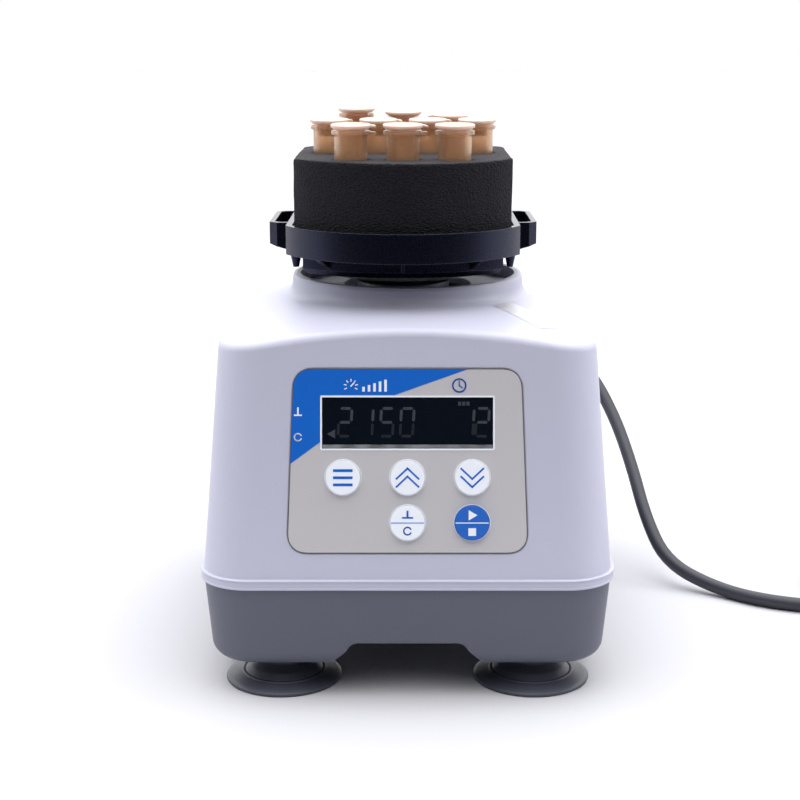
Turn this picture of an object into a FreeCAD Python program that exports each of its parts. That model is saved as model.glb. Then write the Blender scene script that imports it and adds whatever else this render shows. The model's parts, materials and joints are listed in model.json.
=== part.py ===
import FreeCAD, Part
import math
import os

import Sketcher

# A bench vortex mixer with a foam insert that holds ten flip-cap tubes.
# Millimetres, +Z up, -Y is the keypad side. The origin lies on the bench, under the axis of the motor.
# At rest the tray stands to the left of it, by the throw of its crank.

os.makedirs("parts", exist_ok=True)
doc = FreeCAD.newDocument("vortex_mixer")
sheet = doc.addObject("Spreadsheet::Sheet", "Sizes")
V = FreeCAD.Vector


# Sizes

SIZES = {
    # base
    "base_bottom": 11,
    "base_top": 37.3,
    "base_width": 129.4,
    "base_depth": 164,
    "base_taper": 2.2,
    "corner_radius": 15,
    "wall": 2.4,
    "base_edge_radius": 5,
    "arch_half_low": 24.3,
    "arch_half_high": 17.3,
    "arch_rise": 8,
    "arch_block_half": 31,
    "ballast_height": 16,
    # shell
    "bead_rise": 3.2,
    "bead_overhang": 0.9,
    "side_draft": 3.8,
    "front_lean": 12,
    "rear_lean": 5,
    "crown_top": 121.3,
    "crown_across": 268,
    "crown_along": 440,
    "top_edge_radius": 3,
    "boss_radius": 39.3,
    "boss_recess": 37,
    "boss_floor": 120.8,
    "boss_top": 125,
    "boss_bore": 22,
    # keypad, in the plane of the leaning front
    "panel_centre_height": 76.6,
    "panel_half_low": 37.5,
    "panel_half_high": 35.4,
    "panel_length": 57.4,
    "panel_corner": 6.5,
    "panel_film": 0.6,
    "panel_recess": 0.4,
    "fit_gap": 0.15,
    "window_width": 53.3,
    "window_length": 16.4,
    "window_offset": 11.8,
    "window_thickness": 1.4,
    "window_rebate": 1.2,
    "key_radius": 5.4,
    "key_pitch": 20,
    "key_row_one": -5.1,
    "key_row_two": -19.1,
    "key_proud": 1.2,
    "key_travel": 0.8,
    "key_flange": 6.6,
    "key_flange_thickness": 1.2,
    "key_stem": 1.6,
    "board_depth": 11.4,
    "board_thickness": 1.6,
    "board_width": 76,
    "board_length": 56,
    "switch_side": 6,
    "post_radius": 2.6,
    # feet
    "foot_x": 40.4,
    "foot_y": 60,
    "cup_radius": 18.9,
    "cup_hub": 12,
    "foot_neck": 7,
    "stud_radius": 3,
    # drive
    "guide_x": 21,
    "guide_y": 38,
    "guide_radius": 4,
    "guide_pin": 2.5,
    "spring_radius": 4,
    "spring_height": 8,
    "plate_bottom": 62,
    "plate_thickness": 4,
    "plate_width": 58,
    "plate_length": 92,
    "motor_radius": 19,
    "motor_height": 36,
    "shaft_radius": 3,
    "running_fit": 0.05,
    "hub_bottom": 72,
    "hub_height": 9,
    "hub_radius": 12,
    "flange_radius": 20,
    "flange_thickness": 2,
    "weight_radius": 27,
    "throw": 1.5,
    "pin_radius": 5,
    "bearing_bottom": 104,
    "bearing_height": 9,
    "bearing_radius": 13,
    "race_thickness": 2.2,
    "screw_radius": 1.5,
    "screw_head": 2.7,
    "screw_head_height": 2,
    "screw_clearance": 0.15,
    "head_travel": 1.5,
    # tray
    "drum_half": 33.3,
    "drum_front": 35.2,
    "drum_arc": 55.1,
    "drum_bottom": 127.6,
    "rim_bottom": 134.5,
    "rim_top": 144,
    "tray_half": 38.6,
    "tray_arc": 42.6,
    "arc_centre": 9,
    "tray_wall": 2.1,
    "ear_out": 44.8,
    "ear_half_length": 18.4,
    "ear_wall": 1.7,
    "ear_bottom": 136.4,
    "tray_hub_radius": 16,
    "tray_flange_radius": 25.5,
    "tray_flange_thickness": 2.4,
    # foam and tubes
    "seat_gap": 0.3,
    "foam_top": 166,
    "foam_gap": 0.6,
    "tube_pitch": 16.8,
    "row_pitch": 31,
    "tube_radius": 5.4,
    "tube_wall": 1,
    "tube_rim": 6.3,
    "tube_length": 38,
    "tube_cone": 17,
    "tube_tip": 2.2,
    "tube_top": 175.2,
    "rim_thickness": 1.4,
    "cap_radius": 6.5,
    "cap_thickness": 1.7,
    "plug_depth": 3.8,
    "hinge_width": 3.4,
    "back_row_lift": 2.4,
    # mains side
    "rocker_x": -38,
    "rocker_height": 58,
    "gland_x": 30,
    "gland_height": 82,
    "gland_radius": 6,
    "gland_out": 11,
    "cord_radius": 2.5,
    "coil_radius": 27.5,
    "coil_band": 16,
    "coil_height": 14,
    "coil_x": 190,
    "coil_y": 21,
}

for row, (name, amount) in enumerate(SIZES.items(), start=1):
    sheet.set(f"A{row}", name)
    sheet.set(f"B{row}", str(amount))
    sheet.setAlias(f"B{row}", name)
doc.recompute()


class Size:
    """A number together with the sheet formula that it follows."""

    def __init__(self, number, formula=None):
        self.number = number
        self.formula = formula if formula is not None else f"({number:.6f})"

    def join(self, sign, other, number):
        return Size(number, f"({self.formula} {sign} {other.formula})")

    def __add__(self, other):
        other = size(other)
        return self.join("+", other, self.number + other.number)

    def __sub__(self, other):
        other = size(other)
        return self.join("-", other, self.number - other.number)

    def __mul__(self, other):
        other = size(other)
        return self.join("*", other, self.number * other.number)

    def __truediv__(self, other):
        other = size(other)
        return self.join("/", other, self.number / other.number)

    def __neg__(self):
        return Size(-self.number, f"(0 - {self.formula})")

    __radd__ = __add__
    __rmul__ = __mul__

    def __rsub__(self, other):
        return size(other) - self


def size(value):
    return value if isinstance(value, Size) else Size(float(value))


def tangent(angle):
    return Size(math.tan(math.radians(angle.number)), f"tan({angle.formula} * 1 deg)")


def root(value):
    return Size(math.sqrt(value.number), f"sqrt({value.formula})")


class Sheet:
    """The driving sizes by name."""

    def __getattr__(self, name):
        return Size(float(sheet.get(name)), f"Sizes.{name}")


S = Sheet()
NODES = []


# Ways of making a piece

def bind(obj, **sizes):
    for field, value in sizes.items():
        path = field.replace("__", ".")
        obj.setExpression(path, size(value).formula)
    return obj


def place(obj, x=0, y=0, z=0, rotation=None):
    """Puts a piece at a place that follows the sheet."""
    at = [size(c) for c in (x, y, z)]
    turn = rotation if rotation is not None else FreeCAD.Rotation()
    obj.Placement = FreeCAD.Placement(V(*[c.number for c in at]), turn)
    for axis, c in zip("xyz", at):
        obj.setExpression(f"Placement.Base.{axis}", c.formula)
    return obj


def cylinder(name, radius, height, x=0, y=0, z=0, rotation=None):
    made = doc.addObject("Part::Cylinder", name)
    bind(made, Radius=radius, Height=height)
    return place(made, x, y, z, rotation)


def box(name, x, y, z, rotation=None, at=None):
    """A box from its low and high side along each axis, in its own frame at a place."""
    made = doc.addObject("Part::Box", name)
    lows = [size(side[0]) for side in (x, y, z)]
    highs = [size(side[1]) for side in (x, y, z)]
    bind(made, Length=highs[0] - lows[0], Width=highs[1] - lows[1], Height=highs[2] - lows[2])
    if at is None:
        return place(made, *lows)
    corner = turned(rotation, lows)
    return place(made, *[size(a) + c for a, c in zip(at, corner)], rotation)


def turned(rotation, point):
    """A point of a turned frame, as three sizes in the model's frame."""
    out = []
    for i in range(3):
        total = Size(0.0)
        for k, c in enumerate(point):
            share = rotation.multVec(V(*[1.0 if j == k else 0.0 for j in range(3)]))[i]
            if abs(share) > 1e-9:
                total = total + size(c) * share
        out.append(total)
    return out


def cone(name, low, high, height, x=0, y=0, z=0, rotation=None):
    made = doc.addObject("Part::Cone", name)
    bind(made, Radius1=low, Radius2=high, Height=height)
    return place(made, x, y, z, rotation)


def cut(name, base, *tools):
    for i, tool in enumerate(tools):
        made = doc.addObject("Part::Cut", f"{name}_cut_{i}")
        made.Base = base
        made.Tool = tool
        base = made
    return base


def fuse(name, *shapes):
    made = doc.addObject("Part::MultiFuse", f"{name}_fuse")
    made.Shapes = list(shapes)
    return made


def common(name, first, second):
    made = doc.addObject("Part::Common", f"{name}_common")
    made.Base = first
    made.Tool = second
    return made


def group(name, *shapes):
    made = doc.addObject("Part::Compound", f"{name}_group")
    made.Links = list(shapes)
    return made


def node(label, obj, x=None):
    """Marks the finished piece that one file holds, moved sideways where a shift is given."""
    if x is not None:
        obj = place(group(f"{label}_placed", obj), x, 0, 0)
    obj.Label = label
    NODES.append(obj)
    return obj


def outline(sketch, corners):
    """A closed outline, anticlockwise. A corner is x, y and, where an arc leaves it, the arc's radius."""
    points = [(size(c[0]), size(c[1])) for c in corners]
    count = len(points)
    for i, corner in enumerate(corners):
        start, end = points[i], points[(i + 1) % count]
        a = V(start[0].number, start[1].number)
        b = V(end[0].number, end[1].number)
        if len(corner) == 3:
            radius = size(corner[2]).number
            half = (b - a) * 0.5
            rise = math.sqrt(max(radius**2 - half.Length**2, 0.0))
            centre = a + half + V(-half.y, half.x).normalize() * rise
            away = (a + half - centre) if rise > 1e-6 else V(half.y, -half.x)
            middle = centre + away.normalize() * radius
            sketch.addGeometry(Part.Arc(a, middle, b), False)
        else:
            sketch.addGeometry(Part.LineSegment(a, b), False)
    for i in range(count):
        sketch.addConstraint(Sketcher.Constraint("Coincident", i, 2, (i + 1) % count, 1))
    for i, corner in enumerate(corners):
        for kind, value in zip(("DistanceX", "DistanceY"), points[i]):
            n = sketch.addConstraint(Sketcher.Constraint(kind, -1, 1, i, 1, value.number))
            sketch.setExpression(f"Constraints[{n}]", value.formula)
        if len(corner) == 3:
            radius = size(corner[2])
            n = sketch.addConstraint(Sketcher.Constraint("Radius", i, radius.number))
            sketch.setExpression(f"Constraints[{n}]", radius.formula)
    return sketch


def flat_sketch(name, z, corners):
    """An outline on a level plane."""
    sketch = doc.addObject("Sketcher::SketchObject", name)
    place(sketch, 0, 0, z)
    return outline(sketch, corners)


def rounded(half, front, back, radius):
    """The corners of a rectangle with round corners."""
    return [
        (radius - half, front),
        (half - radius, front, radius),
        (half, front + radius),
        (half, back - radius, radius),
        (half - radius, back),
        (radius - half, back, radius),
        (-half, back - radius),
        (-half, front + radius, radius),
    ]


def bowed(half, arc, centre):
    """Two straight sides joined by a bowed front and back."""
    end = centre + root(arc * arc - half * half)
    return [(-half, -end, arc), (half, -end), (half, end, arc), (-half, end)]


def loft(name, z_low, low, z_high, high):
    made = doc.addObject("Part::Loft", name)
    made.Sections = [
        flat_sketch(f"{name}_low", z_low, low),
        flat_sketch(f"{name}_high", z_high, high),
    ]
    made.Solid = True
    made.Ruled = True
    return made


def prism(name, corners, z, height):
    """An outline pulled straight up."""
    body = doc.addObject("PartDesign::Body", name)
    sketch = body_sketch(body, f"{name}_outline", "XY_Plane", corners)
    pad = body.newObject("PartDesign::Pad", f"{name}_pad")
    pad.Profile = sketch
    bind(pad, Length=height)
    sketch.Visibility = False
    return place(body, 0, 0, z)


def body_sketch(body, name, role, corners):
    sketch = body.newObject("Sketcher::SketchObject", name)
    plane = [f for f in body.Origin.OriginFeatures if f.Role == role][0]
    sketch.AttachmentSupport = [(plane, "")]
    sketch.MapMode = "FlatFace"
    return outline(sketch, corners)


def turning(name, profile, x=0, y=0, z=0, rotation=None):
    """A round piece: its half section turned about the upright axis."""
    body = doc.addObject("PartDesign::Body", name)
    sketch = body_sketch(body, f"{name}_section", "XZ_Plane", profile)
    spin = body.newObject("PartDesign::Revolution", f"{name}_turn")
    spin.Profile = sketch
    spin.ReferenceAxis = (sketch, ["V_Axis"])
    spin.Angle = 360
    return place(body, x, y, z, rotation)


def rounded_edges(name, obj, radius, chosen):
    """Rounds the edges that a test picks out."""
    doc.recompute()
    picked = [i for i, edge in enumerate(obj.Shape.Edges, start=1) if chosen(edge)]
    made = doc.addObject("Part::Fillet", name)
    made.Base = obj
    made.Edges = [(i, radius.number, radius.number) for i in picked]
    return made


# The two mouldings of the housing

half_base = S.base_width / 2
half_depth = S.base_depth / 2
bead_top = S.base_top + S.bead_rise
SHELL_REACH = 130
SCREW_INSET = 13


def shell_prism(name, inset, z_low, z_high):
    """The leaning walls of the shell, moved inwards by a wall."""
    ends = []
    for z in (z_low, z_high):
        rise = z - bead_top
        half = half_base - inset - rise * tangent(S.side_draft)
        front = inset - half_depth + rise * tangent(S.front_lean)
        back = half_depth - inset - rise * tangent(S.rear_lean)
        ends.append(rounded(half, front, back, S.corner_radius - inset))
    return loft(name, z_low, ends[0], z_high, ends[1])


def crown(name, inset):
    """The solid under the doubly curved top: a long arc turned about a low axis."""
    axis = S.crown_top - S.crown_across
    reach = size(SHELL_REACH)
    top = S.crown_top - inset
    end = top - S.crown_along + root(S.crown_along * S.crown_along - reach * reach)
    under = axis * 2 - end
    sketch = doc.addObject("Sketcher::SketchObject", f"{name}_arc")
    side_on = FreeCAD.Rotation(V(0, 1, 0), V(0, 0, 1), V(1, 0, 0), "XYZ")
    sketch.Placement = FreeCAD.Placement(V(), side_on)
    outline(sketch, [(reach, axis), (-reach, axis), (-reach, under, S.crown_along), (reach, under)])
    made = doc.addObject("Part::Revolution", name)
    made.Source = sketch
    made.Axis = V(0, 1, 0)
    made.Base = V(0, 0, axis.number)
    made.setExpression("Base.z", axis.formula)
    made.Angle = 360
    made.Solid = True
    return made


lean = FreeCAD.Rotation(V(1, 0, 0), 90 - S.front_lean.number)
panel_at = (
    0,
    (S.panel_centre_height - bead_top) * tangent(S.front_lean) - half_depth,
    S.panel_centre_height,
)
rear_lean = FreeCAD.Rotation(V(0, 0, 1), 180).multiply(
    FreeCAD.Rotation(V(1, 0, 0), 90 - S.rear_lean.number)
)


def on_panel(x, up, out):
    """A place on the keypad: along it, up it and out of it."""
    return [size(a) + c for a, c in zip(panel_at, turned(lean, (x, up, out)))]


def rear_place(x, height, out):
    """A place on the rear wall at a height, and a distance out of it."""
    y = half_depth - (height - bead_top) * tangent(S.rear_lean)
    shift = turned(rear_lean, (0, 0, out))
    return [size(x) + shift[0], y + shift[1], size(height) + shift[2]]


def panel_disc(name, radius, x, up, low, high):
    return cylinder(name, radius, high - low, *on_panel(x, up, low), lean)


def panel_plate(name, grow, low, high):
    """The keypad's own outline, wider at the foot, with round corners."""
    half_low = S.panel_half_low + grow
    half_high = S.panel_half_high + grow
    half_long = S.panel_length / 2 + grow
    r = S.panel_corner + grow
    slope = (half_low - half_high) / (half_long * 2)
    side_low = half_low - slope * r
    side_high = half_high + slope * r
    corners = [
        (r - half_low, -half_long),
        (half_low - r, -half_long, r),
        (side_low, r - half_long),
        (side_high, half_long - r, r),
        (half_high - r, half_long),
        (r - half_high, half_long, r),
        (-side_high, half_long - r),
        (-side_low, r - half_long, r),
    ]
    made = prism(name, corners, 0, size(high) - low)
    return place(made, *on_panel(0, 0, low), lean)


KEYS = {
    "menu_button": (-1, "key_row_one"),
    "up_button": (0, "key_row_one"),
    "down_button": (1, "key_row_one"),
    "mode_button": (0, "key_row_two"),
    "start_stop_button": (1, "key_row_two"),
}


def key_place(key):
    column, row_name = KEYS[key]
    return S.key_pitch * column, getattr(S, row_name)


def make_shell():
    outside = common("shell_outer", shell_prism("shell_block", Size(0.0), bead_top, size(SHELL_REACH)),
                     crown("shell_crown", Size(0.0)))
    outside = rounded_edges("shell_rounded", outside, S.top_edge_radius,
                            lambda edge: edge.BoundBox.ZMin > bead_top.number + 1)
    bead = prism("bead", rounded(half_base + S.bead_overhang, -half_depth - S.bead_overhang,
                                 half_depth + S.bead_overhang, S.corner_radius + S.bead_overhang),
                 S.base_top, S.bead_rise)
    boss = cylinder("boss", S.boss_radius, S.boss_top - S.crown_top + 20, 0, 0, S.crown_top - 20)
    inside = common("shell_inner",
                    shell_prism("cavity_block", S.wall, S.base_top - 1, size(SHELL_REACH)),
                    crown("cavity_crown", S.wall))
    posts = [
        panel_disc(f"board_post_{i}", S.post_radius, x * (S.board_width / 2 - 4),
                   y * (S.board_length / 2 - 4), -S.board_depth, -S.wall / 2)
        for i, (x, y) in enumerate(((-1, -1), (1, -1), (1, 1), (-1, 1)))
    ]
    walls = cut("shell_walls", fuse("shell_solid", outside, bead, boss), inside)
    corner_bosses = [
        cylinder(f"corner_boss_{i}", S.post_radius + 1.4, 34, x * (half_base - SCREW_INSET),
                 y * (half_depth - SCREW_INSET), S.base_bottom + S.wall + 4)
        for i, (x, y) in enumerate(CORNERS)
    ]
    webs = [
        box(f"corner_web_{i}", ear_span(x, half_base - S.wall / 2, half_base - SCREW_INSET + 2),
            (y * (half_depth - SCREW_INSET) - 1, y * (half_depth - SCREW_INSET) + 1),
            (bead_top, bead_top + 6))
        for i, (x, y) in enumerate(CORNERS)
    ]
    body = fuse("shell_posts", walls, *posts, *corner_bosses, *webs)
    holes = [
        cylinder("boss_hole", S.boss_bore, 60, 0, 0, S.crown_top - 30),
        cylinder("boss_recess", S.boss_recess, 20, 0, 0, S.boss_floor),
        panel_plate("panel_pocket", S.fit_gap, -S.panel_recess, 3),
        window_cut("window_hole", -2.5, -S.wall * 2, 1),
        window_cut("window_pocket", S.fit_gap, -S.window_rebate, 1),
        cylinder("gland_hole", S.gland_radius + S.fit_gap, 10,
                 *rear_place(S.gland_x, S.gland_height, -6), rear_lean),
        box("rocker_hole", (-ROCKER_HALF - 1.15, ROCKER_HALF + 1.15), (-11.15, 11.15), (-6, 4),
            rear_lean, rear_place(S.rocker_x, S.rocker_height, 0)),
    ]
    for i, (x, y) in enumerate(CORNERS):
        holes.append(cylinder(f"corner_hole_{i}", S.screw_radius + S.screw_clearance, 16,
                              x * (half_base - SCREW_INSET), y * (half_depth - SCREW_INSET),
                              S.base_bottom + S.wall + 3))
    for key in KEYS:
        x, up = key_place(key)
        holes.append(panel_disc(f"{key}_hole", S.key_radius + S.fit_gap, x, up, -S.wall * 2, 1))
    node("top_housing", cut("shell", body, *holes))


def window_cut(name, grow, low, high):
    half_long = S.window_length / 2 + grow
    return box(name, (-S.window_width / 2 - grow, S.window_width / 2 + grow),
               (S.window_offset - half_long, S.window_offset + half_long),
               (low, high), lean, panel_at)


ROCKER_HALF = 6


def make_base():
    low = S.base_taper
    outer = loft("base_block", S.base_bottom,
                 rounded(half_base - low, low - half_depth, half_depth - low, S.corner_radius),
                 S.base_top, rounded(half_base, -half_depth, half_depth, S.corner_radius))
    outer = rounded_edges("base_rounded", outer, S.base_edge_radius,
                          lambda e: e.BoundBox.ZMax < S.base_bottom.number + 0.01)
    floor_level = S.base_bottom + S.wall
    inset = S.wall + S.base_taper
    cavity = loft("base_cavity", floor_level,
                  rounded(half_base - inset, inset - half_depth, half_depth - inset,
                          S.corner_radius - S.wall),
                  S.base_top + 1,
                  rounded(half_base - S.wall, S.wall - half_depth, half_depth - S.wall,
                          S.corner_radius - S.wall))
    block_top = S.base_bottom + S.arch_rise + S.wall
    block = box("arch_block", (-S.arch_block_half, S.arch_block_half), (-half_depth, half_depth),
                (S.base_bottom, block_top))
    arch = doc.addObject("PartDesign::Body", "arch")
    top = S.base_bottom + S.arch_rise
    round_off = 2.5
    slope = 0.7
    sketch = body_sketch(arch, "arch_outline", "XZ_Plane", [
        (-S.arch_half_low - 3, S.base_bottom - 1),
        (S.arch_half_low + 3, S.base_bottom - 1),
        (S.arch_half_low + 3, S.base_bottom),
        (S.arch_half_low - 0.6, S.base_bottom + 1.2),
        (S.arch_half_high + slope * round_off, top - round_off, round_off * 1.6),
        (S.arch_half_high - round_off, top),
        (round_off - S.arch_half_high, top, round_off * 1.6),
        (-S.arch_half_high - slope * round_off, top - round_off),
        (0.6 - S.arch_half_low, S.base_bottom + 1.2),
        (-S.arch_half_low - 3, S.base_bottom),
    ])
    pad = arch.newObject("PartDesign::Pad", "arch_pad")
    pad.Profile = sketch
    bind(pad, Length=S.base_depth + 20)
    place(arch, 0, half_depth + 10, 0)
    bosses = [
        cylinder(f"foot_boss_{i}", S.foot_neck, 9, x * S.foot_x, y * S.foot_y, S.base_bottom + 0.5)
        for i, (x, y) in enumerate(CORNERS)
    ]
    holes = [
        cylinder(f"foot_hole_{i}", S.stud_radius + 0.1, 14, x * S.foot_x, y * S.foot_y, S.base_bottom - 1)
        for i, (x, y) in enumerate(CORNERS)
    ]
    pegs = [
        cylinder(f"supply_post_{i}", 2.2, 5, x * 20, half_depth - 22 + y * 7, block_top - 0.5)
        for i, (x, y) in enumerate(CORNERS)
    ]
    hollow = cut("base_walls", outer, cut("base_room", cavity, block))
    solid = fuse("base_solid", hollow, *bosses, *pegs)
    node("base_housing", cut("base", solid, arch, *holes))
    return block_top


CORNERS = ((-1, -1), (1, -1), (1, 1), (-1, 1))


def make_feet():
    rim = S.cup_radius
    hub = S.cup_hub
    profile = [
        (S.stud_radius + 0.1, 2.8),
        (9, 2.8),
        (rim - 2, 0),
        (rim - 0.4, 0),
        (rim, 1.2),
        (hub, 3.7),
        (hub - 0.6, 6.2),
        (S.foot_neck, 7),
        (S.foot_neck, S.base_bottom),
        (S.stud_radius + 0.1, S.base_bottom),
    ]
    cups = [turning(f"cup_{i}", profile, x * S.foot_x, y * S.foot_y, 0) for i, (x, y) in enumerate(CORNERS)]
    node("suction_feet", group("suction_feet", *cups))
    studs = []
    for i, (x, y) in enumerate(CORNERS):
        shank = cylinder(f"stud_{i}", S.stud_radius, S.base_bottom + 8.6, x * S.foot_x, y * S.foot_y, 3.4)
        nut = cylinder(f"stud_nut_{i}", 5, 3, x * S.foot_x, y * S.foot_y, S.base_bottom + 9.5)
        studs.append(fuse(f"stud_{i}", shank, nut))
    node("foot_studs", group("foot_studs", *studs))


def make_keypad():
    film = panel_plate("panel_film", Size(0.0), -S.panel_recess, S.panel_film - S.panel_recess)
    holes = [window_cut("film_window", S.fit_gap, -2, 2)]
    for key in KEYS:
        x, up = key_place(key)
        holes.append(panel_disc(f"{key}_film_hole", S.key_radius + S.fit_gap, x, up, size(-2), size(2)))
    node("keypad_panel", cut("panel", film, *holes))
    node("lcd_window", window_cut("lcd_glass", Size(0.0), -S.window_rebate,
                                  S.window_thickness - S.window_rebate))
    screen_back = S.board_depth - S.board_thickness
    half = S.window_width / 2
    node("lcd_module", box("lcd_body", (-half - 3, half + 3),
                           (S.window_offset - S.window_length / 2 - 2,
                            S.window_offset + S.window_length / 2 + 2),
                           (-S.board_depth, -S.wall - S.seat_gap), lean, panel_at))
    board = box("board_sheet", (-S.board_width / 2, S.board_width / 2),
                (-S.board_length / 2, S.board_length / 2),
                (-S.board_depth - S.board_thickness, -S.board_depth), lean, panel_at)
    chip = box("board_chip", (-8, 8), (-6, 8), (-screen_back - 6, -screen_back - 3), lean, panel_at)
    plug = box("board_plug", (-30, -18), (-20, -14), (-screen_back - 9, -screen_back - 3), lean, panel_at)
    node("control_board", fuse("board", board, chip, plug))
    stem_end = S.wall + S.key_flange_thickness + S.key_stem
    switches = []
    for key in KEYS:
        x, up = key_place(key)
        half_side = S.switch_side / 2
        top = -stem_end - S.key_travel - 0.2
        switches.append(box(f"{key}_switch", (x - half_side, x + half_side), (up - half_side, up + half_side),
                            (-S.board_depth, top), lean, panel_at))
        cap = panel_disc(f"{key}_cap", S.key_radius, x, up, -S.wall, S.key_proud)
        flange = panel_disc(f"{key}_flange", S.key_flange, x, up, -S.wall - 0.1 - S.key_flange_thickness,
                            -S.wall - 0.1)
        neck = panel_disc(f"{key}_neck", S.key_radius, x, up, -S.wall - 0.2, -S.wall + 0.1)
        stem = panel_disc(f"{key}_stem", 2, x, up, -stem_end, -S.wall - S.key_flange_thickness)
        node(key, fuse(key, cap, neck, flange, stem))
    node("key_switches", group("key_switches", *switches))


def screw(name, x, y, top, length):
    """A cheese-head screw pointing down, its head resting at a height."""
    shank = cylinder(f"{name}_shank", S.screw_radius, length, x, y, top - length)
    head = cylinder(f"{name}_head", S.screw_head, S.screw_head_height, x, y, top)
    slot = box(f"{name}_slot", (x - S.screw_head, x + S.screw_head), (y - 0.4, y + 0.4),
               (top + S.screw_head_height - 0.8, top + S.screw_head_height + 1))
    return cut(name, fuse(name, shank, head), slot)


def screw_hole(name, x, y, top, length):
    return cylinder(name, S.screw_radius + S.screw_clearance, length, x, y, top - length)


def polar(radius, degrees):
    turn = math.radians(degrees)
    return radius * math.cos(turn), radius * math.sin(turn)


def make_drive(floor):
    plate_top = S.plate_bottom + S.plate_thickness
    shoulder = S.plate_bottom - S.spring_height
    guides = []
    springs = []
    plate_holes = []
    for i, (x, y) in enumerate(CORNERS):
        at = (x * S.guide_x, y * S.guide_y)
        column = cylinder(f"guide_column_{i}", S.guide_radius, shoulder - floor, *at, floor)
        pin = cylinder(f"guide_pin_{i}", S.guide_pin, plate_top + 2 - shoulder + 1, *at, shoulder - 1)
        head = cylinder(f"guide_head_{i}", S.guide_pin + 1.5, 1.6, *at, plate_top + S.seat_gap)
        guides.append(fuse(f"guide_{i}", column, pin, head))
        sleeve = cylinder(f"spring_{i}", S.spring_radius, S.spring_height, *at, shoulder)
        bore = cylinder(f"spring_bore_{i}", S.guide_pin + 0.5, S.spring_height + 2, *at, shoulder - 1)
        springs.append(cut(f"spring_{i}", sleeve, bore))
        plate_holes.append(cylinder(f"plate_hole_{i}", S.guide_pin + S.running_fit * 2, 10, *at,
                                    S.plate_bottom - 3))
    node("guide_posts", group("guide_posts", *guides))
    node("carriage_springs", group("carriage_springs", *springs))
    half_w = S.plate_width / 2
    half_l = S.plate_length / 2
    plate = prism("plate", rounded(half_w, -half_l, half_l, size(8)), S.plate_bottom, S.plate_thickness)
    pilot = cylinder("plate_pilot", S.shaft_radius * 2 + 0.1, 10, 0, 0, S.plate_bottom - 3)
    motor_screws = []
    motor_holes = []
    for i in range(4):
        x, y = polar(14.0, 45 + 90 * i)
        motor_screws.append(screw(f"motor_screw_{i}", size(x), size(y), plate_top, size(9)))
        plate_holes.append(screw_hole(f"plate_screw_hole_{i}", size(x), size(y), plate_top + 1, size(8)))
        motor_holes.append(screw_hole(f"motor_screw_hole_{i}", size(x), size(y), plate_top, size(9.5)))
    node("motor_plate", cut("motor_plate", plate, pilot, *plate_holes))
    node("motor_screws", group("motor_screws", *motor_screws))
    foot = S.plate_bottom - S.motor_height
    profile = [
        (S.shaft_radius + S.running_fit, foot + 4),
        (8, foot - 2.5 + 6.5),
        (8, foot),
        (S.motor_radius - 1.5, foot),
        (S.motor_radius, foot + 1.5),
        (S.motor_radius, S.plate_bottom),
        (S.shaft_radius * 2, S.plate_bottom),
        (S.shaft_radius * 2, S.plate_bottom + 2),
        (S.shaft_radius + S.running_fit, S.plate_bottom + 2),
    ]
    can = turning("motor_can", profile)
    end_cap = cylinder("motor_end", 7.9, 4, 0, 0, foot - 1)
    node("motor", cut("motor", fuse("motor", can, end_cap), *motor_holes))

    node("motor_shaft", cylinder("shaft_rod", S.shaft_radius, S.hub_bottom + S.hub_height - foot - 6, 0, 0,
                                 foot + 5))
    flange_z = S.hub_bottom + S.hub_height
    hub_body = cylinder("hub_body", S.hub_radius, S.hub_height, 0, 0, S.hub_bottom)
    flange = cylinder("hub_flange", S.flange_radius, S.flange_thickness, 0, 0, flange_z)
    pin_top = S.bearing_bottom + S.bearing_height + 1
    pin = cylinder("crank_pin", S.pin_radius, pin_top - flange_z, -S.throw, 0, flange_z)
    collar = cylinder("crank_collar", S.pin_radius + 1.6, S.bearing_bottom - flange_z - 6, -S.throw, 0,
                      flange_z)
    ledge = cylinder("crank_ledge", S.pin_radius + 1.2, 7, -S.throw, 0, S.bearing_bottom - 7)
    bore = cylinder("hub_bore", S.shaft_radius + 0.03, S.hub_height, 0, 0, S.hub_bottom - 0.5)
    grub_hole = cylinder("grub_hole", size(2.1), 12, -S.shaft_radius, 0, S.hub_bottom + 4,
                         FreeCAD.Rotation(V(0, 1, 0), -90))
    weight_screws = []
    flange_holes = []
    weight_holes = []
    for i, angle in enumerate((-40, 40)):
        x, y = polar(16.5, angle)
        top = flange_z + S.flange_thickness
        weight_screws.append(screw(f"weight_screw_{i}", size(x), size(y), top, size(7)))
        flange_holes.append(screw_hole(f"flange_hole_{i}", size(x), size(y), top + 1, size(4)))
        weight_holes.append(screw_hole(f"weight_hole_{i}", size(x), size(y), top, size(7.5)))
    node("eccentric_hub", cut("eccentric_hub", fuse("hub", hub_body, flange, pin, collar, ledge), bore,
                              grub_hole, *flange_holes))
    grub = cylinder("grub", size(2), S.hub_radius - S.shaft_radius - 1, -S.shaft_radius - 0.1, 0,
                    S.hub_bottom + 4, FreeCAD.Rotation(V(0, 1, 0), -90))
    weight = cylinder("weight_disc", S.weight_radius, S.hub_height - 1, 0, 0, S.hub_bottom + 1)
    weight_bore = cylinder("weight_bore", S.hub_radius + 0.1, 20, 0, 0, S.hub_bottom - 4)
    weight_half = box("weight_half", (-S.weight_radius - 5, size(-2)),
                      (-S.weight_radius - 5, S.weight_radius + 5), (S.hub_bottom - 4, flange_z + 8))
    node("counterweight", cut("counterweight", weight, weight_bore, weight_half, *weight_holes))
    node("rotor_screws", group("rotor_screws", grub, *weight_screws))

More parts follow.
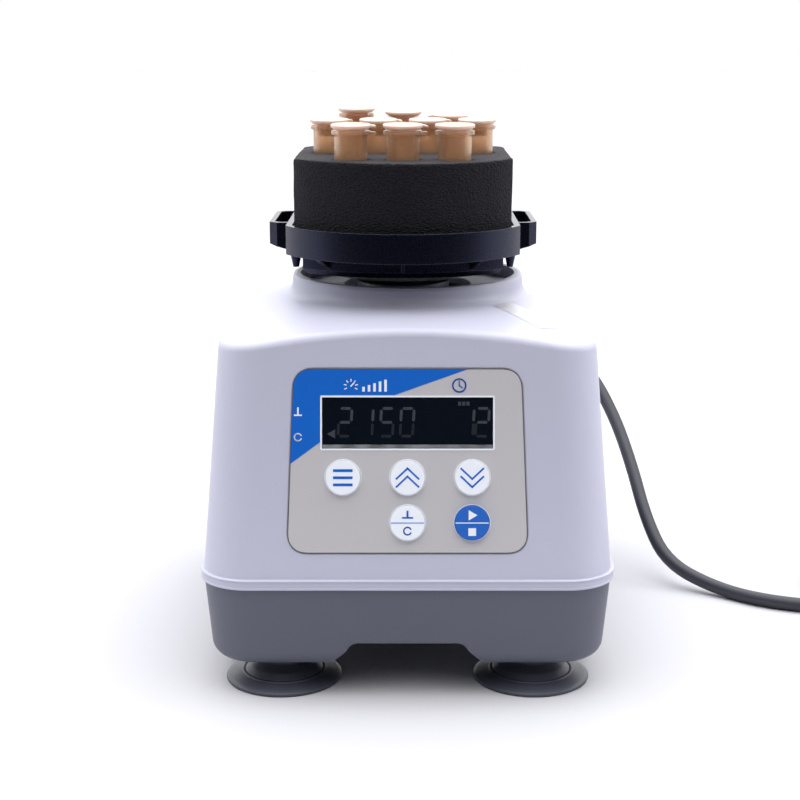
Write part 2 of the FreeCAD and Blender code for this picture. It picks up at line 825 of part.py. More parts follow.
    inner = cylinder("inner_race", S.pin_radius + S.race_thickness, S.bearing_height, 0, 0,
                     S.bearing_bottom)
    inner_bore = cylinder("inner_race_bore", S.pin_radius + 0.03, 30, 0, 0, S.bearing_bottom - 10)
    node("bearing_inner", cut("bearing_inner", inner, inner_bore), -S.throw)
    outer = cylinder("outer_race", S.bearing_radius, S.bearing_height, 0, 0, S.bearing_bottom)
    outer_bore = cylinder("outer_race_bore", S.pin_radius + S.race_thickness + S.running_fit, 30, 0, 0,
                          S.bearing_bottom - 10)
    node("bearing_outer", cut("bearing_outer", outer, outer_bore), -S.throw)


def make_tray():
    floor = S.rim_bottom + S.tray_wall
    inner_half = S.tray_half - S.tray_wall
    inner_arc = S.tray_arc - S.tray_wall
    rim = prism("tray_rim", bowed(S.tray_half, S.tray_arc, S.arc_centre), S.rim_bottom,
                S.rim_top - S.rim_bottom)
    room = prism("tray_room", bowed(inner_half, inner_arc, S.arc_centre), floor, 20)
    foot_height = 1.8
    drum = fuse("tray_drum",
                loft("drum_foot", S.drum_bottom, drum_outline(size(1.4)),
                     S.drum_bottom + foot_height, drum_outline(size(0))),
                prism("drum_wall", drum_outline(size(0)), S.drum_bottom + foot_height,
                      S.rim_bottom + 0.5 - S.drum_bottom - foot_height))
    drum_room = prism("drum_room", drum_outline(S.tray_wall), S.drum_bottom + 2,
                      S.rim_bottom - S.drum_bottom - 2)
    drum_eye = cylinder("drum_eye", S.tray_hub_radius - 4, 4, 0, 0, S.drum_bottom - 1)
    ears = []
    for i, side in enumerate((-1, 1)):
        block = prism(f"ear_block_{i}", ear_outline(side, Size(0.0), S.tray_half - 1), S.ear_bottom - 1.5,
                      S.rim_top - S.ear_bottom + 1.5)
        space = prism(f"ear_space_{i}", ear_outline(side, S.ear_wall, S.tray_half), S.ear_bottom - 5, 20)
        ears.append(cut(f"ear_{i}", block, space, ear_slant(i, side)))
    ribs = []
    for i, angle in enumerate((-128.5, -51.5, 51.5, 128.5)):
        turn = FreeCAD.Rotation(V(0, 0, 1), angle)
        rib = doc.addObject("PartDesign::Body", f"rib_{i}")
        heel = S.drum_front + 2.3
        reach = 8
        sketch = body_sketch(rib, f"rib_outline_{i}", "XZ_Plane", [
            (heel, S.drum_bottom + 2),
            (heel + reach, S.rim_bottom),
            (heel + reach, S.rim_bottom + 0.5),
            (heel, S.rim_bottom + 0.5),
        ])
        pad = rib.newObject("PartDesign::Pad", f"rib_pad_{i}")
        pad.Profile = sketch
        bind(pad, Length=2)
        ribs.append(place(rib, 0, 0, 0, turn))
    seams = [
        box(f"seam_{i}", (size(-0.4), size(0.4)),
            (y * (S.drum_front + 0.15) - 0.4, y * (S.drum_front + 0.15) + 0.4),
            (S.drum_bottom + 2, S.rim_bottom + 0.2))
        for i, y in enumerate((-1, 1))
    ]
    feet = [
        cone(f"rim_foot_{i}", size(1), size(2.2), 5.7, x * (S.tray_half - 2.6), y * 17, S.rim_bottom - 5.5)
        for i, (x, y) in enumerate(CORNERS)
    ]
    holes = []
    screws = []
    hub_holes = []
    for i in range(3):
        x, y = polar(20.5, 90 + 120 * i)
        top = S.drum_bottom + 2
        holes.append(screw_hole(f"tray_hole_{i}", size(x), size(y), top + 1, size(6)))
        hub_holes.append(screw_hole(f"hub_hole_{i}", size(x), size(y), top, size(6)))
        screws.append(screw(f"tray_screw_{i}", size(x), size(y), top, S.tray_flange_thickness + 2))
    drum = cut("drum_hollow", drum, drum_room, drum_eye)
    shape = cut("tray_cup", fuse("tray_solid", rim, drum, *ears, *ribs, *seams, *feet), room, *holes)
    node("tray", shape, -S.throw)
    node("tray_screws", group("tray_screws", *screws), -S.throw)
    profile = [
        (S.bearing_radius + 0.03, S.bearing_bottom - 1),
        (S.tray_hub_radius, S.bearing_bottom - 1),
        (S.tray_hub_radius, S.drum_bottom - S.tray_flange_thickness - 3),
        (S.tray_hub_radius + 3, S.drum_bottom - S.tray_flange_thickness),
        (S.tray_flange_radius, S.drum_bottom - S.tray_flange_thickness),
        (S.tray_flange_radius, S.drum_bottom),
        (0, S.drum_bottom),
        (0, S.bearing_bottom + S.bearing_height + 3),
        (S.bearing_radius - 3, S.bearing_bottom + S.bearing_height + 3),
        (S.bearing_radius - 3, S.bearing_bottom + S.bearing_height),
        (S.bearing_radius + 0.03, S.bearing_bottom + S.bearing_height),
    ]
    node("tray_hub", cut("tray_hub", turning("tray_hub_body", profile), *hub_holes), -S.throw)
    return floor


def drum_outline(inset):
    return bowed(S.drum_half - inset, S.drum_arc - inset, S.drum_front - S.drum_arc)


def ear_outline(side, inset, within):
    """The outline of a loop beside the tray, its two outer corners cut off."""
    out = S.ear_out - inset
    half = S.ear_half_length - inset
    chamfer = 2.6 - inset * 0.4
    corners = [
        (within, -half),
        (out - chamfer, -half),
        (out, chamfer - half),
        (out, half - chamfer),
        (out - chamfer, half),
        (within, half),
    ]
    if side < 0:
        corners = [(-x, y) for x, y in reversed(corners)]
    return corners


def ear_slant(i, side):
    """What is cut from under a loop, so that its lower edge rises outwards."""
    low = S.ear_bottom - 1.5
    body = doc.addObject("PartDesign::Body", f"ear_slant_{i}")
    corners = [
        (S.tray_half, low - 5),
        (S.ear_out + 5, low - 5),
        (S.ear_out + 5, low + 3.2),
        (S.tray_half, low),
    ]
    if side < 0:
        corners = [(-x, z) for x, z in reversed(corners)]
    sketch = body_sketch(body, f"ear_slant_outline_{i}", "XZ_Plane", corners)
    pad = body.newObject("PartDesign::Pad", f"ear_slant_pad_{i}")
    pad.Profile = sketch
    bind(pad, Length=60)
    return place(body, 0, 30, 0)


def ear_span(side, out, within):
    return (-out, -within) if side < 0 else (within, out)


TUBES = [
    (row, column, turn)
    for row, columns, turns in (
        (-1, (-1, 0, 1), (8, 12, 75)),
        (0, (-1.5, -0.5, 0.5, 1.5), (20, 5, 12, 95)),
        (1, (-1, 0, 1), (95, 80, 175)),
    )
    for column, turn in zip(columns, turns)
]


def tube_place(row, column):
    lift = S.back_row_lift * (column * -0.5 + 0.5) if row == 1 else Size(0.0)
    return S.tube_pitch * column, S.row_pitch * row, lift


def make_foam(floor):
    half = S.tray_half - S.tray_wall - S.foam_gap
    arc = S.tray_arc - S.tray_wall - S.foam_gap
    bottom = floor + S.seat_gap
    block = prism("foam_block", bowed(half, arc, S.arc_centre), bottom, S.foam_top - bottom)
    holes = []
    for i, (row, column, _) in enumerate(TUBES, start=1):
        x, y, _lift = tube_place(row, column)
        tip = S.tube_top - S.tube_length
        holes.append(cylinder(f"foam_hole_{i}", S.tube_radius + S.seat_gap, 60, x, y, tip - S.seat_gap))
    node("foam_insert", cut("foam", block, *holes), -S.throw)


def make_tubes():
    tip = S.tube_top - S.tube_length
    inner = S.tube_radius - S.tube_wall
    tube_profile = [
        (0, 0),
        (S.tube_tip - 0.6, 0),
        (S.tube_tip, 0.7),
        (S.tube_radius, S.tube_cone),
        (S.tube_radius, S.tube_length - S.rim_thickness),
        (S.tube_rim, S.tube_length - S.rim_thickness),
        (S.tube_rim, S.tube_length),
        (inner, S.tube_length),
        (inner, S.tube_cone),
        (S.tube_tip - 1, 1.6),
        (0, 1.6),
    ]
    plug = inner - 0.1
    plug_tip = plug - 0.6
    cap_profile = [
        (0, 0.7),
        (plug_tip - S.tube_wall, 0.7),
        (plug_tip - S.tube_wall, -S.plug_depth),
        (plug_tip, -S.plug_depth),
        (plug, 0.1),
        (S.cap_radius - 0.7, 0.1),
        (S.cap_radius - 0.7, 0.6),
        (S.cap_radius, 0.6),
        (S.cap_radius, S.cap_thickness - 0.4),
        (S.cap_radius - 0.4, S.cap_thickness),
        (0, S.cap_thickness),
    ]
    hinge_out = S.cap_radius + 1.6
    for i, (row, column, turn) in enumerate(TUBES, start=1):
        x, y, lift = tube_place(row, column)
        rotation = FreeCAD.Rotation(V(0, 0, 1), turn)
        body = turning(f"tube_body_{i}", tube_profile, x, y, tip + lift, rotation)
        lug = box(f"tube_lug_{i}", (inner + 0.3, hinge_out - 0.1),
                  (-S.hinge_width / 2, S.hinge_width / 2),
                  (S.tube_length - S.rim_thickness, S.tube_length - 0.5),
                  rotation, (x, y, tip + lift))
        node(f"tube_{i}", fuse(f"tube_{i}", body, lug), -S.throw)
        lid = turning(f"cap_lid_{i}", cap_profile, x, y, S.tube_top + lift, rotation)
        at = (x, y, S.tube_top + lift)
        strap = box(f"cap_strap_{i}", (S.cap_radius - 0.4, hinge_out),
                    (-S.hinge_width / 2, S.hinge_width / 2), (size(0.6), size(1.4)), rotation, at)
        node(f"cap_{i}", fuse(f"cap_{i}", lid, strap), -S.throw)


def make_inside(floor):
    ballast = [
        box(f"ballast_{i}", ear_span(side, half_base - 9, S.arch_block_half + 1.5), (size(-48), size(48)),
            (S.base_bottom + S.wall, S.base_bottom + S.wall + S.ballast_height))
        for i, side in enumerate((-1, 1))
    ]
    node("ballast_plates", group("ballast_plates", *ballast))
    level = floor + 4.5
    middle = half_depth - 22
    board = box("supply_board", (size(-24), size(24)), (middle - 11, middle + 11), (level, level + 1.6))
    coil = box("supply_coil", (size(-20), size(-2)), (middle - 8, middle + 8), (level + 1, level + 14))
    can = cylinder("supply_can", size(5), size(13), 9, middle, level + 1)
    node("power_supply_board", fuse("power_supply", board, coil, can))
    bracket = box("touch_bracket", (size(21), size(29)), (size(-6), size(6)), (floor, S.plate_bottom - 5))
    plunger = cylinder("touch_plunger", size(1.6), size(4), 25, 0, S.plate_bottom - S.head_travel - 4.3)
    node("touch_switch", fuse("touch_switch", bracket, plunger))


def make_mains():
    at = rear_place(S.rocker_x, S.rocker_height, 0)
    half = ROCKER_HALF
    frame = box("bezel_frame", (-half - 2.5, half + 2.5), (-12.5, 12.5), (0, 1.2), rear_lean, at)
    collar = box("bezel_collar", (-half - 1, half + 1), (-11, 11), (-9, 0.1), rear_lean, at)
    opening = box("bezel_opening", (-half, half), (-10, 10), (-7.6, 5), rear_lean, at)
    node("power_switch_bezel", cut("bezel", fuse("bezel", frame, collar), opening))
    rocker = doc.addObject("PartDesign::Body", "rocker")
    sketch = body_sketch(rocker, "rocker_outline", "YZ_Plane", [
        (-9.2, -1.4),
        (-2.5, -5.6),
        (2.5, -5.6),
        (9.2, -1.4),
        (9.2, 0.6),
        (0, -0.4),
        (-9.2, 1.6),
    ])
    pad = rocker.newObject("PartDesign::Pad", "rocker_pad")
    pad.Profile = sketch
    bind(pad, Length=half * 2 - 0.6)
    shift = turned(rear_lean, (0.3 - half, 0, 0))
    place(rocker, *[a + c for a, c in zip(at, shift)], rear_lean)
    node("power_rocker", rocker)

    gland = [
        (S.cord_radius + 0.1, -S.wall - 3),
        (S.gland_radius + 2, -S.wall - 3),
        (S.gland_radius + 2, -S.wall - S.fit_gap),
        (S.gland_radius, -S.wall - S.fit_gap),
        (S.gland_radius, 0.15),
        (S.gland_radius + 1.6, 0.15),
        (S.gland_radius + 1.6, 2),
        (S.cord_radius + 1.1, S.gland_out),
        (S.cord_radius + 0.1, S.gland_out),
    ]
    node("cord_gland", turning("gland", gland, *rear_place(S.gland_x, S.gland_height, 0), rear_lean))


# The cord, from its gland at the back, round the right side and down to the bench

def cord_points():
    start = rear_place(S.gland_x, S.gland_height, 0)
    first = V(start[0].number, start[1].number, start[2].number)
    out = rear_lean.multVec(V(0, 0, 1))
    low = S.cord_radius.number + 0.1
    last_bend = V(133, 2, low)
    # the last run heads along the outer turn of the coil and ends where it touches the coil's side
    to_coil = V(S.coil_x.number, S.coil_y.number, low) - last_bend
    side = S.coil_radius.number + S.coil_band.number / 2
    turn = side - S.cord_radius.number - 0.2
    touch = side + S.cord_radius.number + 0.15
    swing = math.degrees(math.asin(turn / to_coil.Length))
    heading = FreeCAD.Rotation(V(0, 0, 1), -swing).multVec(to_coil).normalize()
    reach = math.sqrt(to_coil.Length**2 - turn**2) - math.sqrt(touch**2 - turn**2)
    return [
        first - out * 5,
        first + out * 24,
        V(42, 117, 83),
        V(61, 115, 79),
        V(75.5, 101, 69),
        V(84.5, 84, 53),
        V(89.5, 64, 37),
        V(92.5, 45, 22),
        V(98.5, 29, 9),
        V(115.5, 17, low),
        last_bend,
        last_bend + heading * reach,
    ]


def cord_wire(points):
    """Straight runs joined by arcs as large as the runs allow, and the radii."""
    edges = []
    radii = []
    last = points[0]
    for a, b, c in zip(points, points[1:], points[2:]):
        into = (b - a).normalize()
        away = (c - b).normalize()
        turn = into.getAngle(away)
        reach = 0.45 * min((b - a).Length, (c - b).Length)
        radius = reach / math.tan(turn / 2)
        start = b - into * reach
        end = b + away * reach
        bisector = (away - into).normalize()
        centre = b + bisector * math.hypot(radius, reach)
        middle = centre - bisector * radius
        edges.append(Part.LineSegment(last, start).toShape())
        edges.append(Part.Arc(start, middle, end).toShape())
        radii.append(round(radius, 1))
        last = end
    edges.append(Part.LineSegment(last, points[-1]).toShape())
    return Part.Wire(edges), radii


def make_cord():
    wire, radii = cord_wire(cord_points())
    start = wire.Edges[0].Vertexes[0].Point
    direction = wire.Edges[0].tangentAt(wire.Edges[0].FirstParameter)
    section = Part.Wire(Part.Circle(start, direction, S.cord_radius.number).toShape())
    tube = wire.makePipeShell([section], True, True)
    run = doc.addObject("Part::Feature", "cord_tube")
    run.Shape = tube
    node("cord_run", run)
    expected = math.pi * S.cord_radius.number**2 * wire.Length
    print(f"cord {wire.Length:.0f} mm, radii {radii}, volume share {tube.Volume / expected:.3f}")

    outer = S.coil_radius + S.coil_band / 2
    ring = cylinder("coil_ring", outer, S.coil_height, S.coil_x, S.coil_y, 0)
    hole = cylinder("coil_hole", S.coil_radius - S.coil_band / 2, S.coil_height + 2, S.coil_x, S.coil_y, -1)
    node("cord_coil", cut("cord_coil", ring, hole))
    top = S.coil_height + S.seat_gap
    middle = top + 7.5
    x = S.coil_x + 19.5
    rear = S.coil_y - 8
    handle = place(prism("plug_handle", rounded(size(11), size(0), size(28), size(4)), 0, 15), x, rear, top)
    nose = place(prism("plug_nose", rounded(size(8), size(0), size(8), size(3)), 0, 11), x, rear + 24,
                 top + 2)
    along = FreeCAD.Rotation(V(1, 0, 0), -90)
    holes = [cylinder(f"plug_hole_{i}", size(2.05), 10, x + side * 5, rear + 25, middle, along)
             for i, side in enumerate((-1, 1))]
    pins = [cylinder(f"plug_pin_{i}", size(2), 22, x + side * 5, rear + 27, middle, along)
            for i, side in enumerate((-1, 1))]
    node("mains_plug", cut("mains_plug", fuse("plug", handle, nose), *holes))
    node("plug_pins", group("plug_pins", *pins))


def make_housing_screws():
    """Screws up through the floor of the base into the shell's corner bosses."""
    screws = []
    for i, (x, y) in enumerate(CORNERS):
        at = (x * (half_base - SCREW_INSET), y * (half_depth - SCREW_INSET))
        shank = cylinder(f"housing_screw_shank_{i}", S.screw_radius, 16, *at, S.base_bottom + S.wall + 1)
        head = cylinder(f"housing_screw_head_{i}", S.screw_head, 2, *at, S.base_bottom + S.wall)
        screws.append(fuse(f"housing_screw_{i}", shank, head))
    node("housing_screws", group("housing_screws", *screws))


make_shell()
floor_level = make_base()
make_feet()
make_keypad()
make_inside(floor_level)
make_drive(floor_level)
tray_floor = make_tray()
make_foam(tray_floor)
make_tubes()
make_mains()
make_cord()
make_housing_screws()
doc.recompute()

# Checks and export

for obj in doc.Objects:
    bad = [state for state in obj.State if state in ("Invalid", "Error")]
    if bad:
        raise RuntimeError(f"{obj.Name} {obj.Label} {bad}")
for obj in NODES:
    if obj.Shape.isNull() or not obj.Shape.isValid() or not obj.Shape.Solids:
        raise RuntimeError(f"{obj.Label} has no good shape")
for obj in NODES:
    obj.Shape.exportStep(f"parts/{obj.Label}.step")
print(len(NODES), "nodes")
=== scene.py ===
# %% [markdown]
# # A bench vortex mixer
# The mixer shakes a foam block of small flip-cap tubes. A drafted white shell stands on a grey base and
# four suction cups, and a black tray with two loops carries the foam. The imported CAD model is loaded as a
# fixed frame, in metres, with the keypad towards -Y. Every piece made here sits on that frame.

import json
import math

import bmesh
import bpy
from mathutils import Matrix, Vector, noise


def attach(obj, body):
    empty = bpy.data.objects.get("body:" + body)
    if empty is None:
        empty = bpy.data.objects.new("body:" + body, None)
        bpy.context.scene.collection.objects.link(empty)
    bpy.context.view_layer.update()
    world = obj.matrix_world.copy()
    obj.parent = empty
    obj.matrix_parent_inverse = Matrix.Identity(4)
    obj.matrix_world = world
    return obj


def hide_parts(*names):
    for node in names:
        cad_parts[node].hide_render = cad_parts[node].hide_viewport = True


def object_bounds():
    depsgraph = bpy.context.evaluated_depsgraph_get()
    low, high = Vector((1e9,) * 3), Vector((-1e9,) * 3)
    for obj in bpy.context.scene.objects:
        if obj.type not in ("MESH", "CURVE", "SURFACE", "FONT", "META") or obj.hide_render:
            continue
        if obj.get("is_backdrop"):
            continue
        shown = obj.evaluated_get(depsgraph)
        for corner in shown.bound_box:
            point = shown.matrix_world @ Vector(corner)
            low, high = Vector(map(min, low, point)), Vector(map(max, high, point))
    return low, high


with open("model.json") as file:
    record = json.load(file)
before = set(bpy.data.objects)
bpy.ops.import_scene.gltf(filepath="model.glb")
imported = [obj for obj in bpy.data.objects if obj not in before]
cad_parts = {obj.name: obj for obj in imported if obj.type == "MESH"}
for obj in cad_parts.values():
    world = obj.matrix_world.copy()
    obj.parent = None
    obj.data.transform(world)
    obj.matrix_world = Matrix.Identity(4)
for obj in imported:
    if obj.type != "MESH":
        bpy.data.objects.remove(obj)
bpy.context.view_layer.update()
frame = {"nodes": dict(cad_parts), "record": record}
nodes = frame["nodes"]
MM = 0.001

# %% [markdown]
# ## Camera
# The photograph was taken from just above the tray, about half a metre away, with a longish lens. The
# suction cups' ellipses give the height and the foam's converging sides give the distance.

# %% Camera
CAMERA_AT = (0.0, -0.559, 0.207)
CAMERA_DOWN = 12.9


def placed(name, data):
    """A new object of the scene that shows some data."""
    made = bpy.data.objects.new(name, data)
    bpy.context.scene.collection.objects.link(made)
    return made


camera_data = bpy.data.cameras.new("camera")
camera_data.sensor_width = 36
camera_data.lens = 72.9
camera_data.shift_x = -0.0094
camera = placed("camera", camera_data)
tilt = Matrix.Rotation(math.radians(90 - CAMERA_DOWN), 4, "X")
camera.matrix_world = Matrix.Translation(CAMERA_AT) @ tilt
bpy.context.scene.camera = camera
print("camera", [round(c, 3) for c in camera.location], "lens", camera_data.lens)

# %% [markdown]
# ## Colours and nodes
# A material is a small graph of nodes. Colours are written as on a screen, in hex, and turned to the
# linear values that light is counted in. One function adds any node, sets it and links it. Patterns read
# Object coordinates, which are metres here, so a pattern's scale comes from a real size in millimetres.

# %% Colour and node helpers
def linear(code):
    """A screen colour as linear red, green, blue and alpha."""
    parts = [int(code[i:i + 2], 16) / 255 for i in (1, 3, 5)]
    return [c / 12.92 if c <= 0.04045 else ((c + 0.055) / 1.055) ** 2.4 for c in parts] + [1.0]


def add(tree, kind, sockets=None, **settings):
    """Adds a node. A socket's value is a number, a colour or another node's output."""
    made = tree.nodes.new(kind)
    for name, value in settings.items():
        setattr(made, name, value)
    for key, value in (sockets or {}).items():
        if isinstance(value, bpy.types.NodeSocket):
            tree.links.new(value, made.inputs[key])
        else:
            made.inputs[key].default_value = value
    return made


def mixed(tree, factor, first, second):
    """A mix of two colours, each a colour or another node's output."""
    mix = add(tree, "ShaderNodeMix", data_type="RGBA")
    tree.links.new(factor, mix.inputs[0])
    for socket, value in ((mix.inputs[6], first), (mix.inputs[7], second)):
        if isinstance(value, bpy.types.NodeSocket):
            tree.links.new(value, socket)
        else:
            socket.default_value = value
    return mix.outputs[2]


def begun(name, slot):
    """A new material for a slot, its empty node tree and the place on the piece, in metres."""
    material = bpy.data.materials.new(name)
    material.use_nodes = True
    material["slot"] = slot
    tree = material.node_tree
    tree.nodes.clear()
    return material, tree, add(tree, "ShaderNodeTexCoord").outputs["Object"]


def ended_with(tree, sockets):
    """Ends a material with the usual surface shader."""
    surface = add(tree, "ShaderNodeBsdfPrincipled", sockets)
    add(tree, "ShaderNodeOutputMaterial", {"Surface": surface.outputs["BSDF"]})


def per_metre(size_mm):
    """The scale of a pattern whose features are this many millimetres apart."""
    return 1000.0 / size_mm


def noise_at(tree, place, size_mm, detail):
    """Noise of a real size at a place."""
    sockets = {"Vector": place, "Scale": per_metre(size_mm), "Detail": detail}
    return add(tree, "ShaderNodeTexNoise", sockets).outputs["Fac"]


def bumped(tree, height, depth_mm, strength, **others):
    """A surface's direction, tipped by a height pattern."""
    sockets = {"Height": height, "Distance": depth_mm * MM, "Strength": strength, **others}
    return add(tree, "ShaderNodeBump", sockets).outputs["Normal"]


def evened(tree, pattern, low, high):
    """A pattern's middle part, stretched between two values."""
    sockets = {"Value": pattern, "From Min": 0.3, "From Max": 0.7, "To Min": low, "To Max": high}
    return add(tree, "ShaderNodeMapRange", sockets).outputs["Result"]


print("white in linear light", [round(c, 3) for c in linear("#FFFFFF")])

# %% [markdown]
# ## Moulded plastics
# Nearly everything here is moulded plastic. A mould leaves a fine spark-eroded grain that scatters
# highlights, a faint unevenness in gloss and, on pale ABS, a very slight drift in tone. One function
# makes them all from a colour, a roughness and the grain's size and depth.

# %% A function for moulded plastic
def moulded(name, slot, code, roughness, grain_mm, grain_depth, drift=0.03, wear_and_highlight=0.0, edge_mm=0.3,
            **shader):
    """A moulded plastic: grain as bump, drift in tone, gloss a little uneven, edges slightly round."""
    material, tree, place = begun(name, slot)
    broad = noise_at(tree, place, 60, 2.0)
    tone = linear(code)
    dark = [c * (1 - drift) for c in tone[:3]] + [1.0]
    light = [min(1.0, c * (1 + drift)) for c in tone[:3]] + [1.0]
    colour = mixed(tree, broad, dark, light)
    fine = noise_at(tree, place, grain_mm, 3.0)
    gloss = evened(tree, fine, roughness * 0.9, min(1.0, roughness * 1.1))
    edge = add(tree, "ShaderNodeBevel", {"Radius": edge_mm * MM}, samples=6).outputs["Normal"]
    # Paler edges: partly wear, partly a painted highlight for rounded edges that catch the light.
    if wear_and_highlight:
        colour = worn_and_highlit(tree, colour, edge, wear_and_highlight)
    ended_with(tree, {
        "Base Color": colour, "Roughness": gloss,
        "Normal": bumped(tree, fine, grain_depth, 0.6, Normal=edge),
        **{socket.replace("_", " "): value for socket, value in shader.items()},
    })
    return material


def worn_and_highlit(tree, colour, edge_normal, strength):
    """Edges of dark plastic get paler, partly scuffs and partly a painted highlight, where the rounded
    normal leaves the flat one.
    """
    flat = add(tree, "ShaderNodeNewGeometry").outputs["Normal"]
    same = add(tree, "ShaderNodeVectorMath", {0: flat, 1: edge_normal}, operation="DOT_PRODUCT")
    amount = add(tree, "ShaderNodeMapRange", {
        "Value": same.outputs["Value"], "From Min": 0.995, "From Max": 0.8, "To Min": 0.0,
        "To Max": strength,
    })
    return mixed(tree, amount.outputs["Result"], colour, linear("#9C9CA6"))


# %% [markdown]
# ## The finishes
# The shell is satin ABS with a cool white. The base is a coarser grey ABS. The tray is black ABS, shiny
# enough to catch the lamps along its rims. The keypad is a printed polyester film, and the keys are
# pad-printed caps. All keep an IOR near 1.5, as such plastics have.

# %% Plastic finishes
shell_abs = moulded("shell_satin_abs", "housing_white", "#BCBDCF", 0.42, 0.35, 0.012, drift=0.015,
                    edge_mm=0.8)
# The base, tray and cups get paler edges, partly wear and partly a painted highlight.
base_abs = moulded("base_textured_abs", "base_grey", "#575A68", 0.45, 0.3, 0.02, wear_and_highlight=0.2, edge_mm=1.0)
tray_abs = moulded("tray_black_abs", "tray_black", "#06070D", 0.28, 0.4, 0.005, wear_and_highlight=0.25,
                   Specular_Tint=linear("#BCC4FF"))
black_nylon = moulded("black_nylon", "black_plastic", "#17171B", 0.5, 0.3, 0.02)
gloss_black = moulded("gloss_black_rocker", "switch_black", "#0E0E10", 0.18, 0.8, 0.004)
panel_film = moulded("keypad_polyester_film", "panel_beige", "#BDBBBE", 0.5, 0.25, 0.006, drift=0.01,
                     edge_mm=0.1)
key_white = moulded("key_white_cap", "key_white", "#F2F6FF", 0.4, 0.4, 0.005, drift=0.01, edge_mm=0.5)
key_blue = moulded("key_blue_cap", "key_blue", "#2463C0", 0.4, 0.4, 0.005, drift=0.01, edge_mm=0.5)
ink_blue = moulded("printed_blue", "key_blue", "#0E62C4", 0.5, 0.25, 0.004, drift=0.01, edge_mm=0.02,
                   Specular_IOR_Level=0.2)
ink_white = moulded("printed_white", "key_white", "#EDF0F8", 0.45, 0.25, 0.004, drift=0.01,
                    edge_mm=0.02)
# A dark grey for the line round the keypad: painted shade for the gap where the film sits in its pocket.
painted_gap_shade = moulded("painted_gap_shade_line", "black_plastic", "#4A4A52", 0.5, 0.25, 0.004, edge_mm=0.02)
cup_rubber = moulded("suction_cup_rubber", "cup_rubber", "#4A4C58", 0.4, 0.6, 0.02, wear_and_highlight=0.12,
                     edge_mm=0.4)
cord_pvc = moulded("lead_pvc_sheath", "cord_grey", "#2B2C36", 0.5, 0.5, 0.01, drift=0.05)
board_green = moulded("circuit_board", "board_green", "#1E5A34", 0.45, 1.2, 0.05, drift=0.15)
print("plastics", len(bpy.data.materials))

# %% [markdown]
# ## Metals, glass and amber polypropylene
# Inside are zinc-plated steel, turned aluminium and cast iron. They show only when the tray is lifted in
# a pose. The tubes are amber polypropylene: milky, so light goes in and comes out again a few
# millimetres away, and warm where it is thick.

# %% Metals
def metal(name, slot, code, roughness, grain_mm, stretch=(1.0, 1.0, 1.0), depth=0.01):
    """A metal whose tool marks are noise, drawn out along one direction where it was turned."""
    material, tree, place = begun(name, slot)
    drawn = add(tree, "ShaderNodeMapping", {"Vector": place, "Scale": stretch})
    marks = noise_at(tree, drawn.outputs["Vector"], grain_mm, 4.0)
    ended_with(tree, {
        "Base Color": linear(code), "Metallic": 1.0,
        "Roughness": evened(tree, marks, roughness * 0.75, min(1.0, roughness * 1.3)),
        "Normal": bumped(tree, marks, depth, 0.5),
    })
    return material


steel = metal("zinc_plated_steel", "steel", "#B9BBC0", 0.32, 1.5)
aluminium = metal("turned_aluminium", "aluminium", "#D2D4D8", 0.3, 0.8, (1.0, 1.0, 12.0))
cast_iron = metal("cast_iron", "cast", "#5A5A5C", 0.65, 0.9, depth=0.06)
brass = metal("plated_pin_brass", "brass_pins", "#D8C08A", 0.25, 1.2, (1.0, 0.2, 1.0))
silver_label = metal("silvered_label_film", "housing_white", "#DDDDE2", 0.42, 6.0, depth=0.002)
print("metals ready")

# %% Amber polypropylene and the display window
def amber(name, code, transmission, roughness):
    """Milky amber polypropylene, with a faint flow pattern from the mould."""
    material, tree, place = begun(name, "tube_amber")
    flow = noise_at(tree, place, 5, 2.0)
    tone = linear(code)
    ended_with(tree, {
        "Base Color": mixed(tree, flow, [c * 0.94 for c in tone[:3]] + [1.0], tone),
        "Roughness": roughness, "IOR": 1.49, "Transmission Weight": transmission,
        "Subsurface Weight": 0.35, "Subsurface Radius": (0.004, 0.0022, 0.0014),
        "Subsurface Scale": 1.0, "Normal": bumped(tree, flow, 0.05, 0.5),
    })
    return material


tube_amber = amber("tube_amber_polypropylene", "#FAD9B8", 0.8, 0.22)
cap_amber = amber("cap_amber_polypropylene", "#FBDCD0", 0.3, 0.4)
glass_dark = moulded("display_window", "window_dark", "#070E18", 0.12, 4.0, 0.001, drift=0.1,
                     edge_mm=0.1)
print("tubes and window ready")

# %% [markdown]
# ## Black foam
# The insert is a closed-cell foam that was cut to shape. A cut face opens the cells, so it is a mass of
# tiny cups with torn rims: Voronoi cells for the cups and noise for the tears. The real cells are about
# 0.4 mm across, and they are drawn twice as coarse, so that they show in a picture of the whole mixer.
# Faces that point up are painted paler, as painted light for the bright ceiling and the sheen on the top.

# %% Foam
def foam(name):
    """Cut foam: dark on the sides, painted paler where it faces up, as painted light from overhead."""
    material, tree, place = begun(name, "foam_black")
    laid = add(tree, "ShaderNodeMapping", {"Vector": place, "Scale": (1.0, 1.0, 1.6)}).outputs["Vector"]
    cells = add(tree, "ShaderNodeTexVoronoi", {"Vector": laid, "Scale": per_metre(0.8)})
    tears = noise_at(tree, laid, 1.2, 6.0)
    height = add(tree, "ShaderNodeMath", {0: cells.outputs["Distance"], 1: tears}, operation="ADD")
    # Painted light: faces that point up get the paler top colours, standing in for the overhead light and
    # its sheen.
    normal = add(tree, "ShaderNodeNewGeometry").outputs["Normal"]
    facing = add(tree, "ShaderNodeSeparateXYZ", {"Vector": normal})
    painted_top_light = add(tree, "ShaderNodeMapRange", {
        "Value": facing.outputs["Z"], "From Min": 0.6, "From Max": 0.95,
    })
    cut = mixed(tree, tears, linear("#030307"), linear("#14151F"))
    top = mixed(tree, tears, linear("#242226"), linear("#3E3A40"))
    ended_with(tree, {
        "Base Color": mixed(tree, painted_top_light.outputs["Result"], cut, top), "Roughness": 0.8,
        "Specular IOR Level": 0.25, "Normal": bumped(tree, height.outputs["Value"], 0.6, 1.0),
    })
    return material


foam_black = foam("cut_closed_cell_foam")
print("foam ready")

